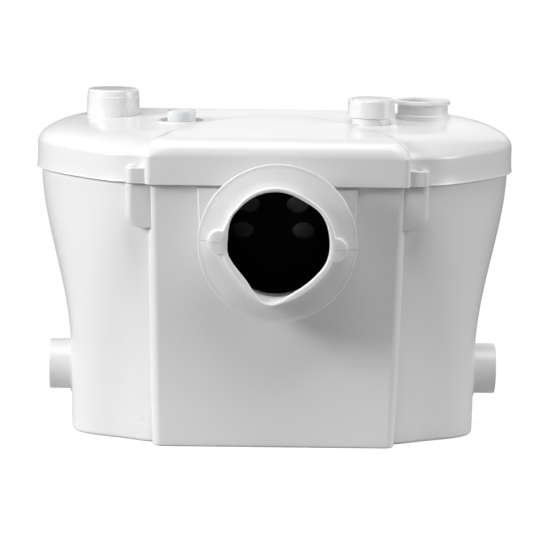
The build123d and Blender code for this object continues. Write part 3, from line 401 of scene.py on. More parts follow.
def buildTurnedMetal():
    # rings left by turning, seen as a height that follows the distance from the upright motor axis
    group, given, result = newGroup(
        "turnedRings", [("Spacing", 2400.0), ("Axis Y", 0.024)], ["Height"]
    )
    at = splitNode(group, objectPlace(group))
    y = mathNode(group, "SUBTRACT", at["Y"], given["Axis Y"])
    acrossX = mathNode(group, "MULTIPLY", at["X"], at["X"])
    squares = mathNode(group, "ADD", acrossX, mathNode(group, "MULTIPLY", y, y))
    radius = mathNode(group, "SQRT", squares)
    along = mathNode(group, "ADD", radius, at["Z"])
    wave = mathNode(group, "SINE", mathNode(group, "MULTIPLY", along, given["Spacing"]))
    group.links.new(wave, result["Height"])
    return group


groups = {
    "grain": buildMouldedGrain(),
    "wearAndSheen": buildEdgeWearAndSheen(),
    "scuffs": buildScuffs(),
    "dust": buildDust(),
    "turned": buildTurnedMetal(),
    "parting": buildPartingLine(),
}

def shade(value):
    return (value, value, value)


# One entry for each finish: what a user would change.
finishValues = {
    "white_shell": dict(
        color=(0.83, 0.83, 0.835), tint=(0.80, 0.80, 0.81), wornAndSheen=shade(0.88), rough=0.30, roughSwing=0.04,
        bump=0.02, grainSize=700, ripple=26, scuff=0.15, dust=0.05, wearAndSheen=0.3, coat=0.15, ior=1.52,
    ),
    "white_cap": dict(
        color=(0.78, 0.78, 0.785), tint=(0.76, 0.76, 0.77), wornAndSheen=shade(0.88), rough=0.26, roughSwing=0.05,
        bump=0.015, grainSize=900, ripple=40, scuff=0.25, dust=0.2, wearAndSheen=0.3, coat=0.2, ior=1.52,
    ),
    # on the sleeve, the strong share of a bright edge colour paints a highlight along the lip and ear outlines
    "soft_sleeve": dict(
        color=shade(0.84), tint=(0.79, 0.79, 0.795), wornAndSheen=shade(0.95), rough=0.38, roughSwing=0.08,
        bump=0.03, grainSize=500, ripple=60, scuff=0.15, dust=0.2, wearAndSheen=0.7, parting=0.7, subsurface=0.5,
        subsurfaceReach=0.004, ior=1.45,
    ),
    # black plastic with a near-zero colour and weak reflection, so that it also paints the deep shade inside
    # the WC inlet
    "black_plastic": dict(
        color=shade(0.003), tint=shade(0.005), wornAndSheen=shade(0.012), rough=0.5, roughSwing=0.10, bump=0.06,
        grainSize=600, ripple=50, scuff=0.3, dust=0.02, wearAndSheen=0.3, ior=1.12,
    ),
    "grey_plastic": dict(
        color=(0.28, 0.29, 0.30), tint=(0.24, 0.25, 0.26), wornAndSheen=shade(0.42), rough=0.45, roughSwing=0.10,
        bump=0.05, grainSize=600, ripple=50, scuff=0.5, dust=0.4, wearAndSheen=0.5,
    ),
    "black_rubber": dict(
        color=shade(0.018), tint=(0.030, 0.029, 0.028), wornAndSheen=shade(0.07), rough=0.72, roughSwing=0.12,
        bump=0.12, grainSize=450, ripple=70, scuff=0.2, dust=0.6, wearAndSheen=0.4,
    ),
    "steel": dict(
        color=(0.60, 0.59, 0.57), tint=(0.52, 0.51, 0.50), wornAndSheen=(0.75, 0.74, 0.72), rough=0.28,
        roughSwing=0.12, metallic=1.0, bump=0.05, grainSize=1200, ripple=80, scuff=0.8, dust=0.2,
        wearAndSheen=0.6, turned=0.25,
    ),
    "zinc_steel": dict(
        color=(0.55, 0.56, 0.58), tint=(0.46, 0.47, 0.50), wornAndSheen=(0.70, 0.70, 0.72), rough=0.38,
        roughSwing=0.16, metallic=1.0, bump=0.06, grainSize=900, ripple=140, scuff=0.8, dust=0.3,
        wearAndSheen=0.6, turned=0.1,
    ),
    "cast_alloy": dict(
        color=(0.80, 0.80, 0.81), tint=(0.74, 0.74, 0.75), wornAndSheen=shade(0.88), rough=0.5, roughSwing=0.10,
        metallic=0.15, bump=0.2, grainSize=420, ripple=90, scuff=0.3, dust=0.3, wearAndSheen=0.5,
    ),
    "copper_wire": dict(
        color=(0.58, 0.24, 0.10), tint=(0.42, 0.16, 0.07), wornAndSheen=(0.75, 0.36, 0.18), rough=0.34,
        roughSwing=0.12, metallic=1.0, bump=0.3, grainSize=500, ripple=60, scuff=0.2, dust=0.3, wearAndSheen=0.4,
        turned=0.8,
    ),
    "charcoal": dict(
        color=(0.016, 0.016, 0.017), tint=(0.035, 0.034, 0.033), wornAndSheen=shade(0.08), rough=0.92,
        roughSwing=0.06, bump=0.9, grainSize=260, ripple=120, scuff=0.1, dust=0.7, wearAndSheen=0.2, ior=1.4,
    ),
    "clear_button": dict(
        color=(0.95, 0.955, 0.96), tint=(0.91, 0.92, 0.93), wornAndSheen=shade(0.98), rough=0.12, roughSwing=0.04,
        bump=0.01, grainSize=800, ripple=40, scuff=0.3, dust=0.1, wearAndSheen=0.4, transmission=0.35, ior=1.4,
    ),
}


def placeGroup(tree, group, **values):
    node = addNode(tree, "ShaderNodeGroup", node_tree=group)
    for label, value in values.items():
        node.inputs[label.replace("_", " ")].default_value = value
    return node


def mixColours(tree, factor, first, second):
    node = addNode(tree, "ShaderNodeMix", data_type="RGBA")
    tree.links.new(factor, node.inputs[0])
    feed(tree, node.inputs[6], first)
    feed(tree, node.inputs[7], second)
    return node.outputs[2]


def makeFinish(name, v):
    material = bpy.data.materials.new(name)
    material.use_nodes = True
    tree = material.node_tree
    shader = tree.nodes["Principled BSDF"]
    grain = placeGroup(tree, groups["grain"], Grain_Size=v["grainSize"], Ripple_Size=v["ripple"])
    wearAndSheen = placeGroup(tree, groups["wearAndSheen"])
    scuffs = placeGroup(tree, groups["scuffs"], Amount=v["scuff"])
    dust = placeGroup(tree, groups["dust"], Amount=v["dust"])
    tone = mixColours(tree, grain.outputs["Mottle"], v["color"], v["tint"])
    # outward edges take the brighter edge colour: rubbed wear, and on the sleeve a painted highlight
    rubbedAndSheen = mathNode(tree, "MULTIPLY", wearAndSheen.outputs["Mask"], v["wearAndSheen"])
    tone = mixColours(tree, rubbedAndSheen, tone, v["wornAndSheen"])
    dusty = tuple(0.5 * c + 0.3 for c in v["tint"])
    tone = mixColours(tree, dust.outputs["Mask"], tone, dusty)
    if "parting" in v:
        split = placeGroup(tree, groups["parting"])
        seen = mathNode(tree, "MULTIPLY", split.outputs["Mask"], v["parting"])
        tone = mixColours(tree, seen, tone, shade(0.42))
    tree.links.new(tone, shader.inputs["Base Color"])
    swing = v["roughSwing"]
    rough = rangeNode(tree, grain.outputs["Mottle"], 0.0, 1.0, v["rough"] - swing, v["rough"] + swing)
    rough = mathNode(tree, "MULTIPLY_ADD", scuffs.outputs["Mask"], 0.25, rough)
    rough = mathNode(tree, "MULTIPLY_ADD", dust.outputs["Mask"], 0.3, rough)
    tree.links.new(rough, shader.inputs["Roughness"])
    height = mathNode(tree, "MULTIPLY_ADD", scuffs.outputs["Mask"], -0.6, grain.outputs["Height"])
    if "turned" in v:
        rings = placeGroup(tree, groups["turned"])
        height = mathNode(tree, "MULTIPLY_ADD", rings.outputs["Height"], v["turned"], height)
    bump = addNode(tree, "ShaderNodeBump")
    bump.inputs["Strength"].default_value = min(v["bump"] * 2.0, 1.0)
    bump.inputs["Distance"].default_value = 0.0002
    tree.links.new(height, bump.inputs["Height"])
    tree.links.new(bump.outputs["Normal"], shader.inputs["Normal"])
    plainValues = (
        ("Metallic", v.get("metallic", 0.0)), ("IOR", v.get("ior", 1.5)), ("Coat Weight", v.get("coat", 0.0)),
        ("Coat Roughness", 0.12), ("Transmission Weight", v.get("transmission", 0.0)),
        ("Subsurface Weight", v.get("subsurface", 0.0)), ("Subsurface Scale", v.get("subsurfaceReach", 0.002)),
        ("Subsurface Radius", (1.0, 0.95, 0.9)),
    )
    for label, value in plainValues:
        shader.inputs[label].default_value = value
    return material


finishes = {name: makeFinish(name, values) for name, values in finishValues.items()}
print("finishes ready:", len(finishes))


# Outlines shared by tank and lid

shell = dict(
    seamZ=216.0, wall=3.5, floorThickness=4.0, backY=88.0, skirtReach=4.2,
    baseOutline=[(101, -70), (125, -57.3), (152, -43.5), (165, -30), (168, -5), (168.3, 40),
                 (164, 80), (148, 88)],
    rimOutline=[(101, -79), (125, -71.5), (157, -44), (183, -9), (196.6, 27), (193.5, 57),
                (172, 80.5), (142, 88)],
    lobeEnds=[(0.94, 0.34), (-1, 0)],
    bulgeBaseHalf=98.2, bulgeRimHalf=103.8, bulgeBaseY=-86.0, bulgeRimY=-89.5, bulgeTaper=3.6,
    bulgeRootY=-50.0,
    bossX=114.6, bossInnerX=98.0, bossOuterX=122.4, bossRootY=-62.0, bossLowZ=180.5, bossTopZ=229.5,
    frontScrewY=-82.0, backScrewY=91.5, lidBossFrontY=-90.0, backBossY=98.0, backBossInnerX=107.0,
    inletZ=173.0, sideZ=51.0, sideY=4.0,
    curveFromZ=66, curveHeight=150, evenShare=0.16,
)


def lobeCorners(height, inset=0.0):
    # right half of the tank's plan at a height, moved inwards by inset along its own normal
    rise = min(max((height - shell["curveFromZ"]) / shell["curveHeight"], 0), 1)
    even = shell["evenShare"]
    share = even * min(height / shell["seamZ"], 1) + (1 - even) * rise * rise * (3 - 2 * rise)
    raw = [(a + (c - a) * share, b + (d - b) * share)
           for (a, b), (c, d) in zip(shell["baseOutline"], shell["rimOutline"])]
    moved = []
    for i, (x, y) in enumerate(raw):
        before, after = raw[max(i - 1, 0)], raw[min(i + 1, len(raw) - 1)]
        alongX, alongY = after[0] - before[0], after[1] - before[1]
        if i in (0, len(raw) - 1):
            alongX, alongY = (1, 0) if i == 0 else (-1, 0)
        length = hypot(alongX, alongY)
        moved.append((x - inset * alongY / length, y + inset * alongX / length))
    return moved


def mirrored(half):
    # closes a half outline that starts and ends at x 0
    return half + [(-x, y) for x, y in reversed(half[1:-1])]


def lobeOutline(height, inset=0.0, steps=84):
    corners = lobeCorners(height, inset)
    curve = curveThrough(corners, shell["lobeEnds"][0], shell["lobeEnds"][1], steps)
    front = [(corners[0][0] * k / 10, corners[0][1]) for k in range(10)]
    back = [(corners[-1][0] * (9 - k) / 10, corners[-1][1]) for k in range(10)]
    return mirrored(front + curve + back)


def bulgeOutline(height, inset=0.0, corner=6.8):
    share = height / shell["seamZ"]
    half = shell["bulgeBaseHalf"] + (shell["bulgeRimHalf"] - shell["bulgeBaseHalf"]) * share - inset
    front = shell["bulgeBaseY"] + (shell["bulgeRimY"] - shell["bulgeBaseY"]) * share + inset
    root, taper = shell["bulgeRootY"], shell["bulgeTaper"]
    rear = [(half + taper, root, 0), (-half - taper, root, 0)]
    return rounded([(-half, front, corner), (half, front, corner)] + rear, 8)


def softStart(radius, steps=6):
    # (height, inset) pairs of a rounded bottom edge
    turns = [pi / 2 * k / steps for k in range(steps)]
    return [(radius * (1 - cos(turn)), radius * (1 - sin(turn))) for turn in turns]


def risingSolid(name, levels, footRound, outlineAt):
    # solid over plans that outlineAt(height, drawIn) gives, with a rounded foot where one is asked for
    rings = []
    low = levels[0]
    for rise, drawIn in (softStart(footRound) if footRound else []):
        rings.append(atHeight(outlineAt(low + rise, drawIn), low + rise))
    for level in levels:
        if footRound and level < low + footRound:
            continue
        rings.append(atHeight(outlineAt(level, 0.0), level))
    return skinRings(name, rings)


def lobesSolid(name, levels, inset=0.0, footRound=0.0):
    return risingSolid(name, levels, footRound, lambda z, drawIn: lobeOutline(z, inset + drawIn))


def bulgeSolid(name, levels, inset=0.0, footRound=0.0, corner=6.8):
    return risingSolid(name, levels, footRound, lambda z, drawIn: bulgeOutline(z, inset + drawIn, corner))


# Tank

tankShape = dict(
    padHalf=64.5, padLowHalf=62.2, padFrontY=-91.2, padTopZ=214.0, padEdge=0.9, bossRound=10.0, bossEdge=5.5,
    spigotOuter=51.0, spigotInner=46.5, spigotFrontY=-116.0,
    stubOuter=21.0, stubInner=18.0, stubEndX=188.0, stubInnerX=150.0,
    collarRootX=155.0, collarX=170.0, collarRadius=24.0,
    glandX=-60.0, glandZ=187.0, glandHole=8.1, deckZ=208.0, railDrop=8.0, railOut=1.5, railIn=12.0,
    basePads=[(-120, -30), (120, -30), (-140, 70), (140, 70)], padPocket=10.1, padPocketTop=2.5,
)


def padSolid(v):
    # raised U-shaped pad behind the sleeve, with a rolled front edge
    outline = [(v["padHalf"], v["padTopZ"]), (-v["padHalf"], v["padTopZ"])]
    centreZ = shell["inletZ"]
    for k in range(61):
        turn = pi + pi * k / 60
        outline.append((v["padLowHalf"] * cos(turn), centreZ + v["padLowHalf"] * sin(turn)))
    rings = []
    edge = v["padEdge"]
    steps = [(-60, 0), (v["padFrontY"] + edge, 0)]
    for k in range(1, 6):
        turn = pi / 2 * k / 5
        steps.append((v["padFrontY"] + edge * (1 - sin(turn)), edge * (1 - cos(turn))))
    for y, inset in steps:
        ring = []
        for x, z in outline:
            dx, dz = x, z - centreZ
            length = hypot(dx, dz)
            if z >= centreZ + 1:
                ring.append((x - inset * (1 if x > 0 else -1), y, z - inset))
            else:
                ring.append((x - inset * dx / length, y, z - inset * dz / length))
        rings.append(ring)
    return skinRings("pad", rings)


def bossPlan(side, inner, outer, front, edge):
    # plan of a front boss, whose outer front corner is rounded
    inner, outer, root = side * inner, side * outer, shell["bossRootY"]
    return [(inner, front, 0), (outer, front, edge), (outer, root, 0), (inner, root, 0)]


def bossSolid(side, v):
    # front screw boss of the tank: rounded under its outer corner and down its front outer edge
    inner = shell["bossInnerX"]
    rings = []
    low, top, r = shell["bossLowZ"], shell["seamZ"], v["bossRound"]
    levels = [low + r * (1 - cos(pi / 2 * k / 8)) for k in range(8)] + [low + r, top - 0.5, top]
    for k, level in enumerate(levels):
        drop = max(low + r - level, 0)
        outer = shell["bossOuterX"] - (r - sqrt(max(r * r - drop * drop, 0)))
        lift = 0.6 if k == 0 else 0.4 if k == len(levels) - 1 else 0.0
        front = bulgeOutline(level)[4][1] + 0.01 + lift
        corners = bossPlan(side, inner, outer - lift, front, v["bossEdge"])
        if side < 0:
            corners = corners[::-1]
        rings.append(atHeight(rounded(corners, 6), level))
    return skinRings("boss", rings)


def backBoss(side, low, high, front, edge=1.5):
    inner, outer, back = shell["backBossInnerX"], shell["bossOuterX"], shell["backBossY"]
    rings = []
    ends = ((low, 0.8), (low + 0.3, 0.3), (low + 0.9, 0), (high - 0.9, 0), (high - 0.3, 0.3), (high, 0.8))
    for level, inset in ends:
        corners = [(side * (inner + inset), front, 0), (side * (outer - inset), front, 0),
                   (side * (outer - inset), back - inset, edge), (side * (inner + inset), back - inset, edge)]
        rings.append(atHeight(rounded(corners, 4), level))
    return skinRings("backBoss", rings)


def makeTank(v):
    levels = [3, 6] + list(range(12, 222, 6)) + [222]
    tank = lobesSolid("tankSkin", [0] + levels, 0.0, 3.0)
    tank = unite(tank, bulgeSolid("bulge", [0, 6, 60, 120, 180, 222], 0.0, 2.5))
    stubPlace = (shell["sideY"], shell["sideZ"])
    adds = [padSolid(v)]
    for side in (-1, 1):
        adds.append(bossSolid(side, v))
        adds.append(backBoss(side, shell["bossLowZ"], shell["seamZ"], 80.0))
        root, reach, r = side * v["collarRootX"], side * v["collarX"], v["collarRadius"]
        collar = rounded([(0, root, 0), (r, root, 0), (r, reach, 0.4), (0, reach, 0)], closed=False)
        adds.append(lathe("stubCollar", collar, stubPlace, "x", hoop=False))
    tank = unite(tank, joined(adds))
    floorZ = shell["floorThickness"]
    hollow = lobesSolid("hollow", [floorZ] + list(range(12, 222, 12)) + [226], shell["wall"])
    tank = cut(tank, hollow)
    tank = cut(tank, bulgeSolid("hollow", [floorZ, 226], shell["wall"], corner=2.0))
    z, bore = shell["inletZ"], v["spigotInner"]
    parts = [tube("spigot", (0, z), v["spigotFrontY"], -76, v["spigotOuter"], bore, "y", 0.8, 144)]
    for side in (-1, 1):
        low, high = sorted((side * v["stubInnerX"], side * v["stubEndX"]))
        parts.append(tube("stub", stubPlace, low, high, v["stubOuter"], v["stubInner"], "x", 0.9))
    tank = unite(tank, joined(parts))
    top = v["deckZ"]
    low = top - v["railDrop"]
    rail = prism("rail", lobeOutline(top, v["railOut"]), (low, top))
    rail = cut(rail, prism("railIn", lobeOutline(top, v["railIn"]), (low - 1, top + 1)))
    rail = cut(rail, box("railFront", (-250, -200, 190), (250, -12, 220)))
    tank = unite(tank, rail)
    cutters = [rod("bore", (0, z), v["spigotFrontY"] - 1, -77, bore, "y", 144)]
    for side in (-1, 1):
        low, high = sorted((side * (v["stubInnerX"] - 1), side * (v["stubEndX"] + 1)))
        cutters.append(rod("bore", stubPlace, low, high, v["stubInner"], "x", 96))
        for screwY in (shell["frontScrewY"], shell["backScrewY"]):
            cutters.append(rod("screwHole", (side * shell["bossX"], screwY), 198, 217, 2.1, steps=32))
    cutters.append(rod("glandHole", (v["glandX"], v["glandZ"]), 78, 93, v["glandHole"], "y", 48))
    for x, y in v["basePads"]:
        cutters.append(rod("padPocket", (x, y), -1, v["padPocketTop"], v["padPocket"], steps=48))
    tank = cut(tank, joined(cutters))
    # the spigot's top stops short of the lid's front wall and of the rim
    half = v["padHalf"] - 0.5
    tank = cut(tank, box("lidSlot", (-half, -94.0, 215.6), (half, -89.9, 230)))
    tank = cut(tank, box("rimSlot", (-half, -90.5, 222.0), (half, -60, 230)))
    finishPiece(tank, "housing", "white_shell", ["tank"])


makeTank(tankShape)


# Lid

lidShape = dict(
    wall=3.2, flareReach=0.8, flareHeight=8.0, crownRise=40.0, crownSlope=0.0625, skirtHeight=22.0,
    shoulderReach=50.0, backReach=10.0,
    domeFrontY=-93.4, domeHalf=107.0, domeCentreY=-80.0, domeDepth=145.0, domeArch=1.6, domeFrontZ=254.0,
    domeSlope=2.4, domeRound=15.0, domeCorner=5.0,
    bossEdge=5.5, bossTopRound=1.2,
    vent=(-138.0, 50.0), ventSeatZ=255.2, ventNeckTop=270.0, ventRadius=22.4,
    neck=(80.0, 17.0), neckTop=268.0, neckOuter=16.2, neckInner=13.2,
    outlet=(125.5, 50.0), outletTop=274.3, outletFlangeZ=262.3, outletFlange=23.4, outletTube=21.4,
    outletBore=18.5, outletShoulder=250.0, socketInner=20.4, socketOuter=24.0,
    socketLowZ=222.0, socketTopZ=252.0,
    button=(-79.2, 18.0), recessRadius=18.75, recessZ=252.6, wellRadius=7.2, wellZ=246.6, stemHole=4.1,
    switchTop=237.0, screwSeatZ=225.5, screwHead=3.6, screwHole=2.3, screwLowZ=215, screwTopZ=231,
    ledgeLowZ=224, ledgeTopZ=227, ledgeOut=2.5, ledgeIn=5.5, pocketLowZ=214, pocketOut=0.6,
)


def crownZ(x, y, halfWidth, inset, v, drop=0.0):
    frontY = shell["rimOutline"][0][1] - shell["skirtReach"] + inset
    rearY = shell["backY"] + shell["skirtReach"] - inset
    side = 1 - min(max(halfWidth - abs(x), 0) / v["shoulderReach"], 1)
    front = 1 - min(max(y - frontY, 0) / v["shoulderReach"], 1)
    back = 1 - min(max(rearY - y, 0) / v["backReach"], 1)
    climb = v["crownRise"] + v["crownSlope"] * y - v["skirtHeight"]
    foot = 0.95 * v["skirtHeight"]
    crown = v["skirtHeight"] + climb * sqrt(max((1 - front ** 2) * (1 - back ** 2), 0)) - drop
    return shell["seamZ"] + foot + (crown - foot) * sqrt(max(1 - side ** 2, 0))


def lobesLid(name, reach, v, foot, flare=0.0, drop=0.0, low=None):
    # lobed part of the lid: flared lower edge, upright skirt and long elliptical shoulders, then rings drawn in
    skirt = lobeOutline(shell["seamZ"], -(reach - flare))
    lower = shell["seamZ"] if low is None else low
    rings = []
    if flare:
        rings.append(atHeight(lobeOutline(shell["seamZ"], -(reach - 0.45)), lower))
        for k in range(9):
            drawIn = flare * (k / 8) ** 0.6
            level = lower + 0.35 + v["flareHeight"] * (k / 8) ** 1.3
            rings.append(atHeight(lobeOutline(shell["seamZ"], -(reach - drawIn)), level))
    else:
        rings.append(atHeight(skirt, lower))
    inset = shell["skirtReach"] - (reach - flare)
    xs, ys = np.array([p[0] for p in skirt]), np.array([p[1] for p in skirt])
    right = xs >= 0
    order = np.argsort(ys[right])
    sortedY, sortedX = ys[right][order], xs[right][order]
    rings.append(atHeight(skirt, foot - 6))
    centreX, centreY = 0.0, 4.0
    for k in range(0, 31):
        t = 0.97 * (k / 30) ** 2
        ring = []
        for x, y in skirt:
            px, py = x + (centreX - x) * t, y + (centreY - y) * t
            if k == 0:
                halfWidth = abs(px)
            else:
                halfWidth = float(np.interp(py, sortedY, sortedX))
            ring.append((px, py, crownZ(px, py, halfWidth, inset, v, drop) - (drop if k == 0 else 0)))
        rings.append(ring)
    return skinRings(name, rings)


def domeOutline(inset, v):
    half, front = v["domeHalf"] - inset, v["domeFrontY"] + inset
    corner = v["domeCorner"]
    frontLine = [((half - corner) * k / 12, front) for k in range(12)]
    turns = [pi / 2 * k / 8 for k in range(9)]
    bend = [(half - corner + corner * sin(turn), front + corner - corner * cos(turn)) for turn in turns]
    side = [(half, front + corner + (v["domeCentreY"] - front - corner) * k / 4) for k in range(1, 4)]
    arch = []
    depth = v["domeDepth"] - inset
    for k in range(49):
        angle = pi / 2 * k / 48
        arch.append((half * cos(angle), v["domeCentreY"] + depth * sin(angle) ** v["domeArch"]))
    arch[-1] = (0.0, arch[-1][1])
    return mirrored(frontLine + bend + side + arch)


def domeSolid(name, inset, v, drop=0.0, low=None, edge=15.0):
    outline = domeOutline(inset, v)
    front = v["domeFrontY"] + inset
    wallPart = np.array([p for p in outline if p[1] > front + 0.01])
    slope = tan(radians(v["domeSlope"]))
    lower = shell["seamZ"] if low is None else low

    def heightAt(x, y, onEdge):
        top = v["domeFrontZ"] + slope * (y - v["domeCentreY"]) - drop
        if onEdge:
            return top - edge
        away = float(np.min(np.hypot(wallPart[:, 0] - x, wallPart[:, 1] - y)))
        a = 1 - min(away / edge, 1)
        b = 1 - min(max(y - front, 0) / edge, 1)
        return top - edge * (1 - sqrt(max((1 - a * a) * (1 - b * b), 0)))

    rings = [[(x, y, lower) for x, y in outline]]
    if not drop:
        rings = [[(x, y, lower) for x, y in domeOutline(inset + 0.5, v)]]
        rings.append(atHeight(outline, lower + 0.45))
    rings.append(atHeight(outline, lower + 12))
    centreX, centreY = 0.0, -30.0
    for k in range(0, 29):
        t = 0.97 * (k / 28) ** 2
        inward = [(x + (centreX - x) * t, y + (centreY - y) * t) for x, y in outline]
        rings.append([(x, y, heightAt(x, y, k == 0)) for x, y in inward])
    return skinRings(name, rings)


def lidBoss(side, v):
    inner, outer = shell["bulgeRimHalf"] - 3, shell["bossOuterX"]
    low, top, r = shell["seamZ"] + 0.4, shell["bossTopZ"], v["bossTopRound"]
    rings = []
    steps = [(low, 0.4), (low + 0.4, 0), (top - r, 0)]
    steps += [(top - r + r * sin(pi / 2 * k / 4), r * (1 - cos(pi / 2 * k / 4))) for k in range(1, 5)]
    for level, inset in steps:
        front = shell["lidBossFrontY"] + inset
        corners = bossPlan(side, inner, outer - inset, front, v["bossEdge"])
        rings.append(atHeight(rounded(corners, 6), level))
    return skinRings("lidBoss", rings)


def makeLid(v):
    seam = shell["seamZ"]
    lid = lobesLid("lidSkin", shell["skirtReach"], v, seam + 0.95 * v["skirtHeight"], v["flareReach"])
    lid = unite(lid, domeSolid("dome", 0.0, v, edge=v["domeRound"]))
    adds = []
    for side in (-1, 1):
        adds.append(lidBoss(side, v))
        adds.append(backBoss(side, seam + 0.4, shell["bossTopZ"], 84.0))
    lid = unite(lid, joined(adds))
    inner = lobesLid("hollow", shell["skirtReach"] - 3.4, v, seam + 15, 0.0, v["wall"], seam - 2)
    lid = cut(lid, inner)
    lid = cut(lid, domeSolid("hollow", 3.0, v, v["wall"], seam - 2, v["domeRound"] - 3.0))
    # the ledge that presses the gasket, then the pocket under it for the tank's rim
    out, inside = v["ledgeOut"], v["ledgeIn"]
    levels = (v["ledgeLowZ"], v["ledgeTopZ"])
    past = (levels[0] - 1, levels[1] + 1)
    ledge = prism("ledge", lobeOutline(seam, -out), levels)
    ledge = unite(ledge, prism("a", bulgeOutline(seam, -out, 2.0), levels))
    ledge = cut(ledge, prism("b", lobeOutline(seam, inside), past))
    ledge = cut(ledge, prism("c", bulgeOutline(seam, inside, 0.5), past))
    lid = unite(lid, ledge)
    pocket, out = (v["pocketLowZ"], v["ledgeLowZ"]), v["pocketOut"]
    lid = cut(lid, prism("rimPocket", lobeOutline(seam, -out), pocket))
    lid = cut(lid, prism("rimPocket", bulgeOutline(seam, -out, 3.0), pocket))
    seat, reach = v["ventSeatZ"], v["ventRadius"]
    lid = unite(lid, rod("ventSeat", v["vent"], seat - 3.2, seat + 1.5, reach + 3.2, steps=96))
    lid = cut(lid, rod("ventPocket", v["vent"], seat, 290, reach + 0.5, steps=96))
    cutters = [
        rod("ventHole", v["vent"], 230, 290, v["neckInner"]),
        rod("neckHole", v["neck"], 235, 290, v["neckInner"]),
        rod("outletHole", v["outlet"], 226.5, 290, v["outletTube"] - 1.0),
        rod("recess", v["button"], 246, 290, v["recessRadius"] + 0.6),
    ]
    for side in (-1, 1):
        for screwY in (shell["frontScrewY"], shell["backScrewY"]):
            place = (side * shell["bossX"], screwY)
            hole, head, headZ = v["screwHole"], v["screwHead"], v["screwSeatZ"]
            low, top = v["screwLowZ"], v["screwTopZ"]
            profile = [(0, low), (hole, low), (hole, headZ), (head, headZ), (head, top), (0, top)]
            cutters.append(lathe("screwHole", profile, place, hoop=False, steps=40))
    lid = cut(lid, joined(cutters))
    flange, spout, bore = v["outletFlange"], v["outletTube"], v["outletBore"]
    top, flangeZ, shoulder = v["outletTop"], v["outletFlangeZ"], v["outletShoulder"]
    inner, outer, low, high = v["socketInner"], v["socketOuter"], v["socketLowZ"], v["socketTopZ"]
    outlet = [
        (bore, shoulder, 0.3), (inner, shoulder, 0), (inner, low, 0.4), (outer, low, 0.4), (outer, high, 0),
        (flange, high, 0), (flange, flangeZ, 0.7), (spout, flangeZ, 0.5), (spout, top - 3.6, 0.3),
        (flange, top - 3.2, 0.5), (flange, top, 0.6), (bore, top, 0.8),
    ]
    cup, well = v["recessRadius"], v["wellRadius"]
    outerCup = cup + 2.8
    recess = [
        (v["stemHole"], 243.6, 0.2), (v["stemHole"], v["wellZ"], 0.3), (well, v["wellZ"], 0.3),
        (well, v["recessZ"], 0.4), (cup, v["recessZ"], 0.8), (cup, 257.4, 0), (outerCup, 257.0, 0),
        (outerCup, 249.6, 0.5),
        (well + 2.8, 249.6, 0), (well + 2.8, 243.6, 0.3),
    ]
    fittings = [
        lathe("outletSpigot", rounded(outlet, 4), v["outlet"], steps=112),
        lathe("buttonRecess", rounded(recess, 4), v["button"], steps=96),
        tube("ventNeck", v["vent"], 248.0, v["ventNeckTop"], v["neckOuter"], v["neckInner"]),
        tube("capNeck", v["neck"], 246.0, v["neckTop"], v["neckOuter"], v["neckInner"]),
    ]
    lid = unite(lid, joined(fittings))
    x, y = v["button"]
    posts = [rod("post", (x + side * 10, y), v["switchTop"], 250.0, 2.0, steps=32) for side in (-1, 1)]
    lid = unite(lid, joined(posts))
    finishPiece(lid, "lid", "white_shell", ["lid"])


makeLid(lidShape)


# WC sleeve

sleeveShape = dict(
    centreZ=173.0, frontReach=128.2, rearReach=94.0, tubeInner=51.3, tubeOuter=54.5, throatReach=116.3,
    flangeRadius=63.6, valleyRadius=62.0, valleyReach=117.0, dish=0.3,
    earRadius=9.6, earSeat=46.0, earSlope=0.12, earAngles=[177.5, 356.0],
    throatRadius=42.5, throatLimit=43.5, backRimReach=112.6, backRadius=60.2, backReach=109.4, rootReach=108.2,
    # (angle in degrees, radius) of the squashed lip's outer and inner edge
    lipOuter=[(12, 45.9), (38, 45.1), (58, 44.0), (80, 45.2), (100, 46.3), (120, 45.8), (146, 44.2),
              (165, 44.8), (190, 43.7), (208, 42.2), (224, 41.8), (238, 44.2), (250, 47.2), (262, 48.2),
              (275, 46.6), (295, 44.0), (318, 43.6), (340, 45.4)],
    lipInner=[(11, 41.5), (36, 42.4), (60, 40.8), (85, 42.3), (111, 43.0), (135, 42.4), (150, 42.4),
              (172, 40.0), (190, 40.0), (203, 38.2), (216, 36.9), (230, 37.6), (243, 41.2), (256, 45.9),
              (268, 45.9), (284, 40.8), (302, 38.6), (322, 38.8), (342, 40.8)],
)


def earEdge(angle, base, v):
    # outline radius with the two round ears standing out of the lip
    for centre in v["earAngles"]:
        turn = radians((angle - centre + 180) % 360 - 180)
        inside = v["earRadius"] ** 2 - (v["earSeat"] * sin(turn)) ** 2
        if cos(turn) > 0 and inside > 0:
            nose = v["earSeat"] * cos(turn) + sqrt(inside)
            gap = nose - base
            if gap > -1:
                return base + 0.5 * (gap + sqrt(gap * gap + 1.0)) * min(inside / 14, 1)
    return base


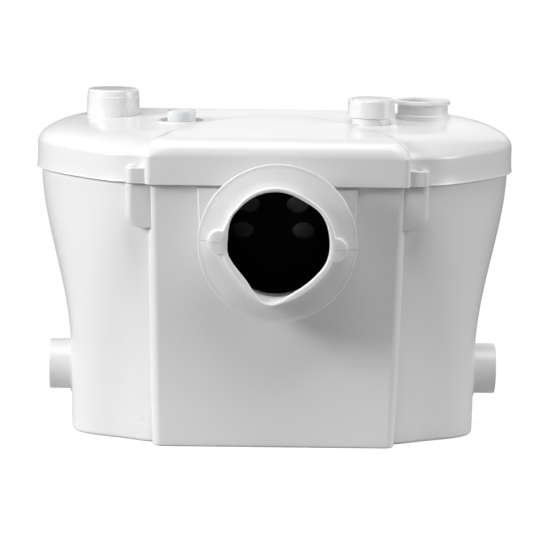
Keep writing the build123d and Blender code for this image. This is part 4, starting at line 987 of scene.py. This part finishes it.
def makeSleeve(v):
    # drawn in rings of one profile whose lip follows its own opening at each angle
    rings = []
    angles = sorted(set(round(a % 360, 2) for a in list(np.arange(0, 360, 1.5))
                        + [c + d for c in v["earAngles"] for d in np.arange(-13, 13.1, 0.4)]))
    front, rear, throat = v["frontReach"], v["rearReach"], v["throatReach"]
    valley, low, dish = v["valleyRadius"], v["valleyReach"], v["dish"]
    rim = v["flangeRadius"]
    for angle in angles:
        base, inner = aroundCircle(v["lipOuter"], angle), aroundCircle(v["lipInner"], angle)
        base = max(base, inner + 2.4)
        outer = earEdge(angle, base, v)
        profile = [
            (v["tubeInner"], rear, 0.6), (v["tubeInner"], throat, 0.4), (v["throatRadius"], throat, 0.8),
            (min(inner + 0.6, v["throatLimit"]), throat + 5, 3.0), (inner, front - 2.4, 0.0),
            (inner + 0.2, front - 1.2, 0.0), (inner + 1.0, front - 0.15, 0.0), (inner + 1.2, front, 0.0),
        ]
        for k in range(1, 4):
            radius = inner + 1.2 + (outer - 0.35 - inner - 1.2) * k / 3
            profile.append((radius, front - max(radius - base, 0) * v["earSlope"], 0.0))
        edge = front - max(outer - base, 0) * v["earSlope"]
        profile.append((outer, edge - 0.3, 0.0))
        foot = outer + 0.35
        dishFoot = low + max(valley - foot, 0) * dish
        profile.append((foot, dishFoot + 0.3, 0.0))
        for k in range(1, 8):
            radius = foot + 0.5 + (valley - foot - 0.5) * k / 7
            profile.append((radius, low + max(valley - radius, 0) * dish, 0.0))
        profile += [
            (rim - 0.7, low + 0.15, 0.0), (rim - 0.25, low + 0.05, 0.0), (rim, low - 0.4, 0.0),
            (rim, v["backRimReach"], 0.6), (v["backRadius"], v["backReach"], 0.8),
            (v["tubeOuter"], v["rootReach"], 1.0), (v["tubeOuter"], rear, 0.8),
        ]
        across, up = cos(radians(angle)), sin(radians(angle))
        rings.append([(r * across, -reach, v["centreZ"] + r * up) for r, reach in rounded(profile, 4)])
    sleeve = skinRings("sleeveSkin", rings, hoop=True)
    finishPiece(sleeve, "housing", "soft_sleeve", ["wc_sleeve"], 40, False)


makeSleeve(sleeveShape)


# Caps and button

capShape = dict(
    ventTop=281.0, ventRidge=274.2, ventRadius=22.4, ventLow=255.5, ventBore=16.6, ventRoof=271.3,
    neckTop=278.2, neckLow=262.4, neckRadius=19.8, neckBore=16.6, neckRoof=269.3,
    buttonRadius=12.0, buttonTop=265.5, buttonLow=255.9,
)


def addCap(name, corners, place, body, slotName, node, arcSteps=5, sides=128):
    profile = rounded(corners, arcSteps, closed=False)
    finishPiece(lathe(name, profile, place, steps=sides, hoop=False), body, slotName, [node])


def makeCaps(v):
    top, ridge, low, bore, roof = v["ventTop"], v["ventRidge"], v["ventLow"], v["ventBore"], v["ventRoof"]
    vent = [
        (0, top, 0), (12.0, top - 0.1, 0), (21.3, top - 0.6, 2.0), (21.7, ridge + 0.5, 0.4), (22.0, ridge, 0.4),
        (v["ventRadius"], low, 0.5), (bore, low, 0.3), (bore, roof, 0.5), (0, roof, 0),
    ]
    addCap("ventCapSkin", vent, lidShape["vent"], "vent_cap", "white_cap", "vent_cap")
    top, r, low, bore, roof = v["neckTop"], v["neckRadius"], v["neckLow"], v["neckBore"], v["neckRoof"]
    plug = [
        (0, top - 0.1, 0), (9.0, top, 0), (r - 0.3, top - 0.2, 2.4), (r, low, 0.6),
        (bore, low, 0.3), (bore, roof, 0.5), (0, roof, 0),
    ]
    addCap("neckCapSkin", plug, lidShape["neck"], "inlet_cap", "white_cap", "inlet_cap")
    r, top, low = v["buttonRadius"], v["buttonTop"], v["buttonLow"]
    press = [
        (0, top - 0.9, 0), (6.0, top - 0.8, 0), (r - 3.0, top - 0.6, 0.6), (r - 2.2, top, 0.5),
        (r - 0.2, top - 0.1, 0.8), (r, low, 0.4), (r - 1.5, low, 0.3),
        (r - 1.5, top - 1.9, 0.6), (0, top - 1.9, 0),
    ]
    addCap("buttonSkin", press, lidShape["button"], "button", "clear_button", "button_cap", 4, 96)


makeCaps(capShape)

springShape = dict(low=246.65, high=256.05, radius=5.6, wire=0.45, turns=4.2, stepsPerTurn=28, travel=3.0)


def makeSpring(v):
    # coil under the button
    count = int(v["turns"] * v["stepsPerTurn"])
    middleX, middleY = lidShape["button"]
    tall = v["high"] - v["low"]
    rings = []
    for i in range(count + 1):
        turn = 2 * pi * v["turns"] * i / count
        rise = v["low"] + v["wire"] + (tall - 2 * v["wire"]) * i / count
        ring = []
        for k in range(10):
            reach = v["radius"] + v["wire"] * cos(2 * pi * k / 10)
            z = rise + v["wire"] * sin(2 * pi * k / 10)
            ring.append((middleX + reach * cos(turn), middleY + reach * sin(turn), z))
        rings.append(ring)
    spring = skinRings("springSkin", rings)
    finishPiece(spring, "lid", "steel", ["button_spring"])
    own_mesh(spring)


makeSpring(springShape)


# CAD pieces that keep their shape

replacedNodes = {"tank", "lid", "wc_sleeve", "vent_cap", "inlet_cap", "button_cap", "button_spring"}
for nodeName, obj in cadNodes.items():
    if nodeName in replacedNodes:
        continue
    slotName = obj.material_slots[0].material.name.split(".")[0]
    for place in obj.material_slots:
        place.material = finishes[slotName]
print("CAD pieces dressed")


# Stage, light and camera

# Places and sizes of the stage are metres. A lamp is its place, what it looks at, width, height and watts.
stageValues = dict(
    floorRadius=1.4, floorZ=-0.00015, clearFrom=0.24, clearTo=0.5, floorColor=0.5, floorGlow=0.74,
    worldColor=0.11,
    leftLamp=((-1.35, -0.56, 0.72), (0, 0, 0.15), 0.4, 0.5, 20.5),
    topLamp=((0.12, -0.48, 1.68), (0, 0, 0.2), 1.2, 1.0, 15.0),
    rightLamp=((1.45, -0.3, 0.6), (0, 0, 0.15), 0.7, 0.8, 9.5),
    frontLamp=((-0.45, -1.9, 0.25), (0, 0, 0.1), 0.6, 0.6, 0.3),
    rearLamp=((0.4, 1.6, 0.9), (0, 0, 0.15), 1.2, 0.9, 3.5),
    cameraPlace=(-0.0455, -2.2324, 0.4827), cameraTarget=(0, -0.060, 0.1385),
    lensMm=175.5, sensorMm=36, rollDegrees=0.9,
)


def mixShaders(tree, factor, first, second, output):
    mix = addNode(tree, "ShaderNodeMixShader")
    for socket, source in zip(mix.inputs, (factor, first.outputs[0], second.outputs[0])):
        tree.links.new(source, socket)
    tree.links.new(mix.outputs[0], tree.nodes[output].inputs["Surface"])


def makeFloor(v):
    count = 96
    points = []
    for share in (0.02, 0.25, 0.6, 1.0):
        reach = 1000 * v["floorRadius"] * share
        for i in range(count):
            turn = 2 * pi * i / count
            points.append((reach * cos(turn), reach * sin(turn), 1000 * v["floorZ"]))
    faces = [tuple(range(count))]
    for level in range(3):
        for i in range(count):
            j = (i + 1) % count
            low, high = level * count, (level + 1) * count
            faces.append((low + i, low + j, high + j, high + i))
    floor = makeObject("studioFloor", points, faces)
    material = bpy.data.materials.new("studioFloor")
    material.use_nodes = True
    tree = material.node_tree
    shader = tree.nodes["Principled BSDF"]
    shader.inputs["Base Color"].default_value = (*shade(v["floorColor"]), 1)
    shader.inputs["Roughness"].default_value = 0.9
    shader.inputs["Specular IOR Level"].default_value = 0.0
    place = objectPlace(tree)
    length = addNode(tree, "ShaderNodeVectorMath", operation="LENGTH")
    tree.links.new(place, length.inputs[0])
    fade = rangeNode(tree, length.outputs["Value"], v["clearFrom"], v["clearTo"])
    # the floor's paleness for the camera, so that only the object's own shadow darkens it
    path = addNode(tree, "ShaderNodeLightPath")
    shader.inputs["Emission Color"].default_value = (1, 1, 1, 1)
    glow = mathNode(tree, "MULTIPLY", path.outputs["Is Camera Ray"], v["floorGlow"])
    tree.links.new(glow, shader.inputs["Emission Strength"])
    clear = addNode(tree, "ShaderNodeBsdfTransparent")
    mixShaders(tree, fade, shader, clear, "Material Output")
    floor.data.materials.append(material)


def makeWorld(v):
    world = bpy.data.worlds.new("studioWorld")
    scene.world = world
    world.use_nodes = True
    tree = world.node_tree
    plain = tree.nodes["Background"]
    plain.inputs["Color"].default_value = (*shade(v["worldColor"]), 1)
    white = addNode(tree, "ShaderNodeBackground")
    white.inputs["Color"].default_value = (1, 1, 1, 1)
    path = addNode(tree, "ShaderNodeLightPath")
    seen = mathNode(tree, "MAXIMUM", path.outputs["Is Camera Ray"], path.outputs["Is Transmission Ray"])
    mixShaders(tree, seen, plain, white, "World Output")


def addLamp(name, place, target, width, height, power):
    lamp = bpy.data.lights.new(name, "AREA")
    lamp.shape = "RECTANGLE"
    lamp.size, lamp.size_y, lamp.energy = width, height, power
    obj = bpy.data.objects.new(name, lamp)
    scene.collection.objects.link(obj)
    obj.location = place
    aim = Vector(target) - Vector(place)
    obj.rotation_euler = aim.to_track_quat("-Z", "Y").to_euler()


def makeCamera(v):
    data = bpy.data.cameras.new("photoCamera")
    data.sensor_width = v["sensorMm"]
    data.lens = v["lensMm"]
    data.clip_end = 20
    obj = bpy.data.objects.new("photoCamera", data)
    scene.collection.objects.link(obj)
    place, target = Vector(v["cameraPlace"]), Vector(v["cameraTarget"])
    obj.location = place
    turn = (target - place).to_track_quat("-Z", "Y")
    obj.rotation_euler = (turn @ Quaternion((0, 0, 1), radians(v["rollDegrees"]))).to_euler()
    scene.camera = obj


makeFloor(stageValues)
makeWorld(stageValues)
for lampName in ("leftLamp", "topLamp", "rightLamp", "frontLamp", "rearLamp"):
    addLamp(lampName, *stageValues[lampName])
makeCamera(stageValues)
scene.view_settings.view_transform = "Standard"
print("stage ready")
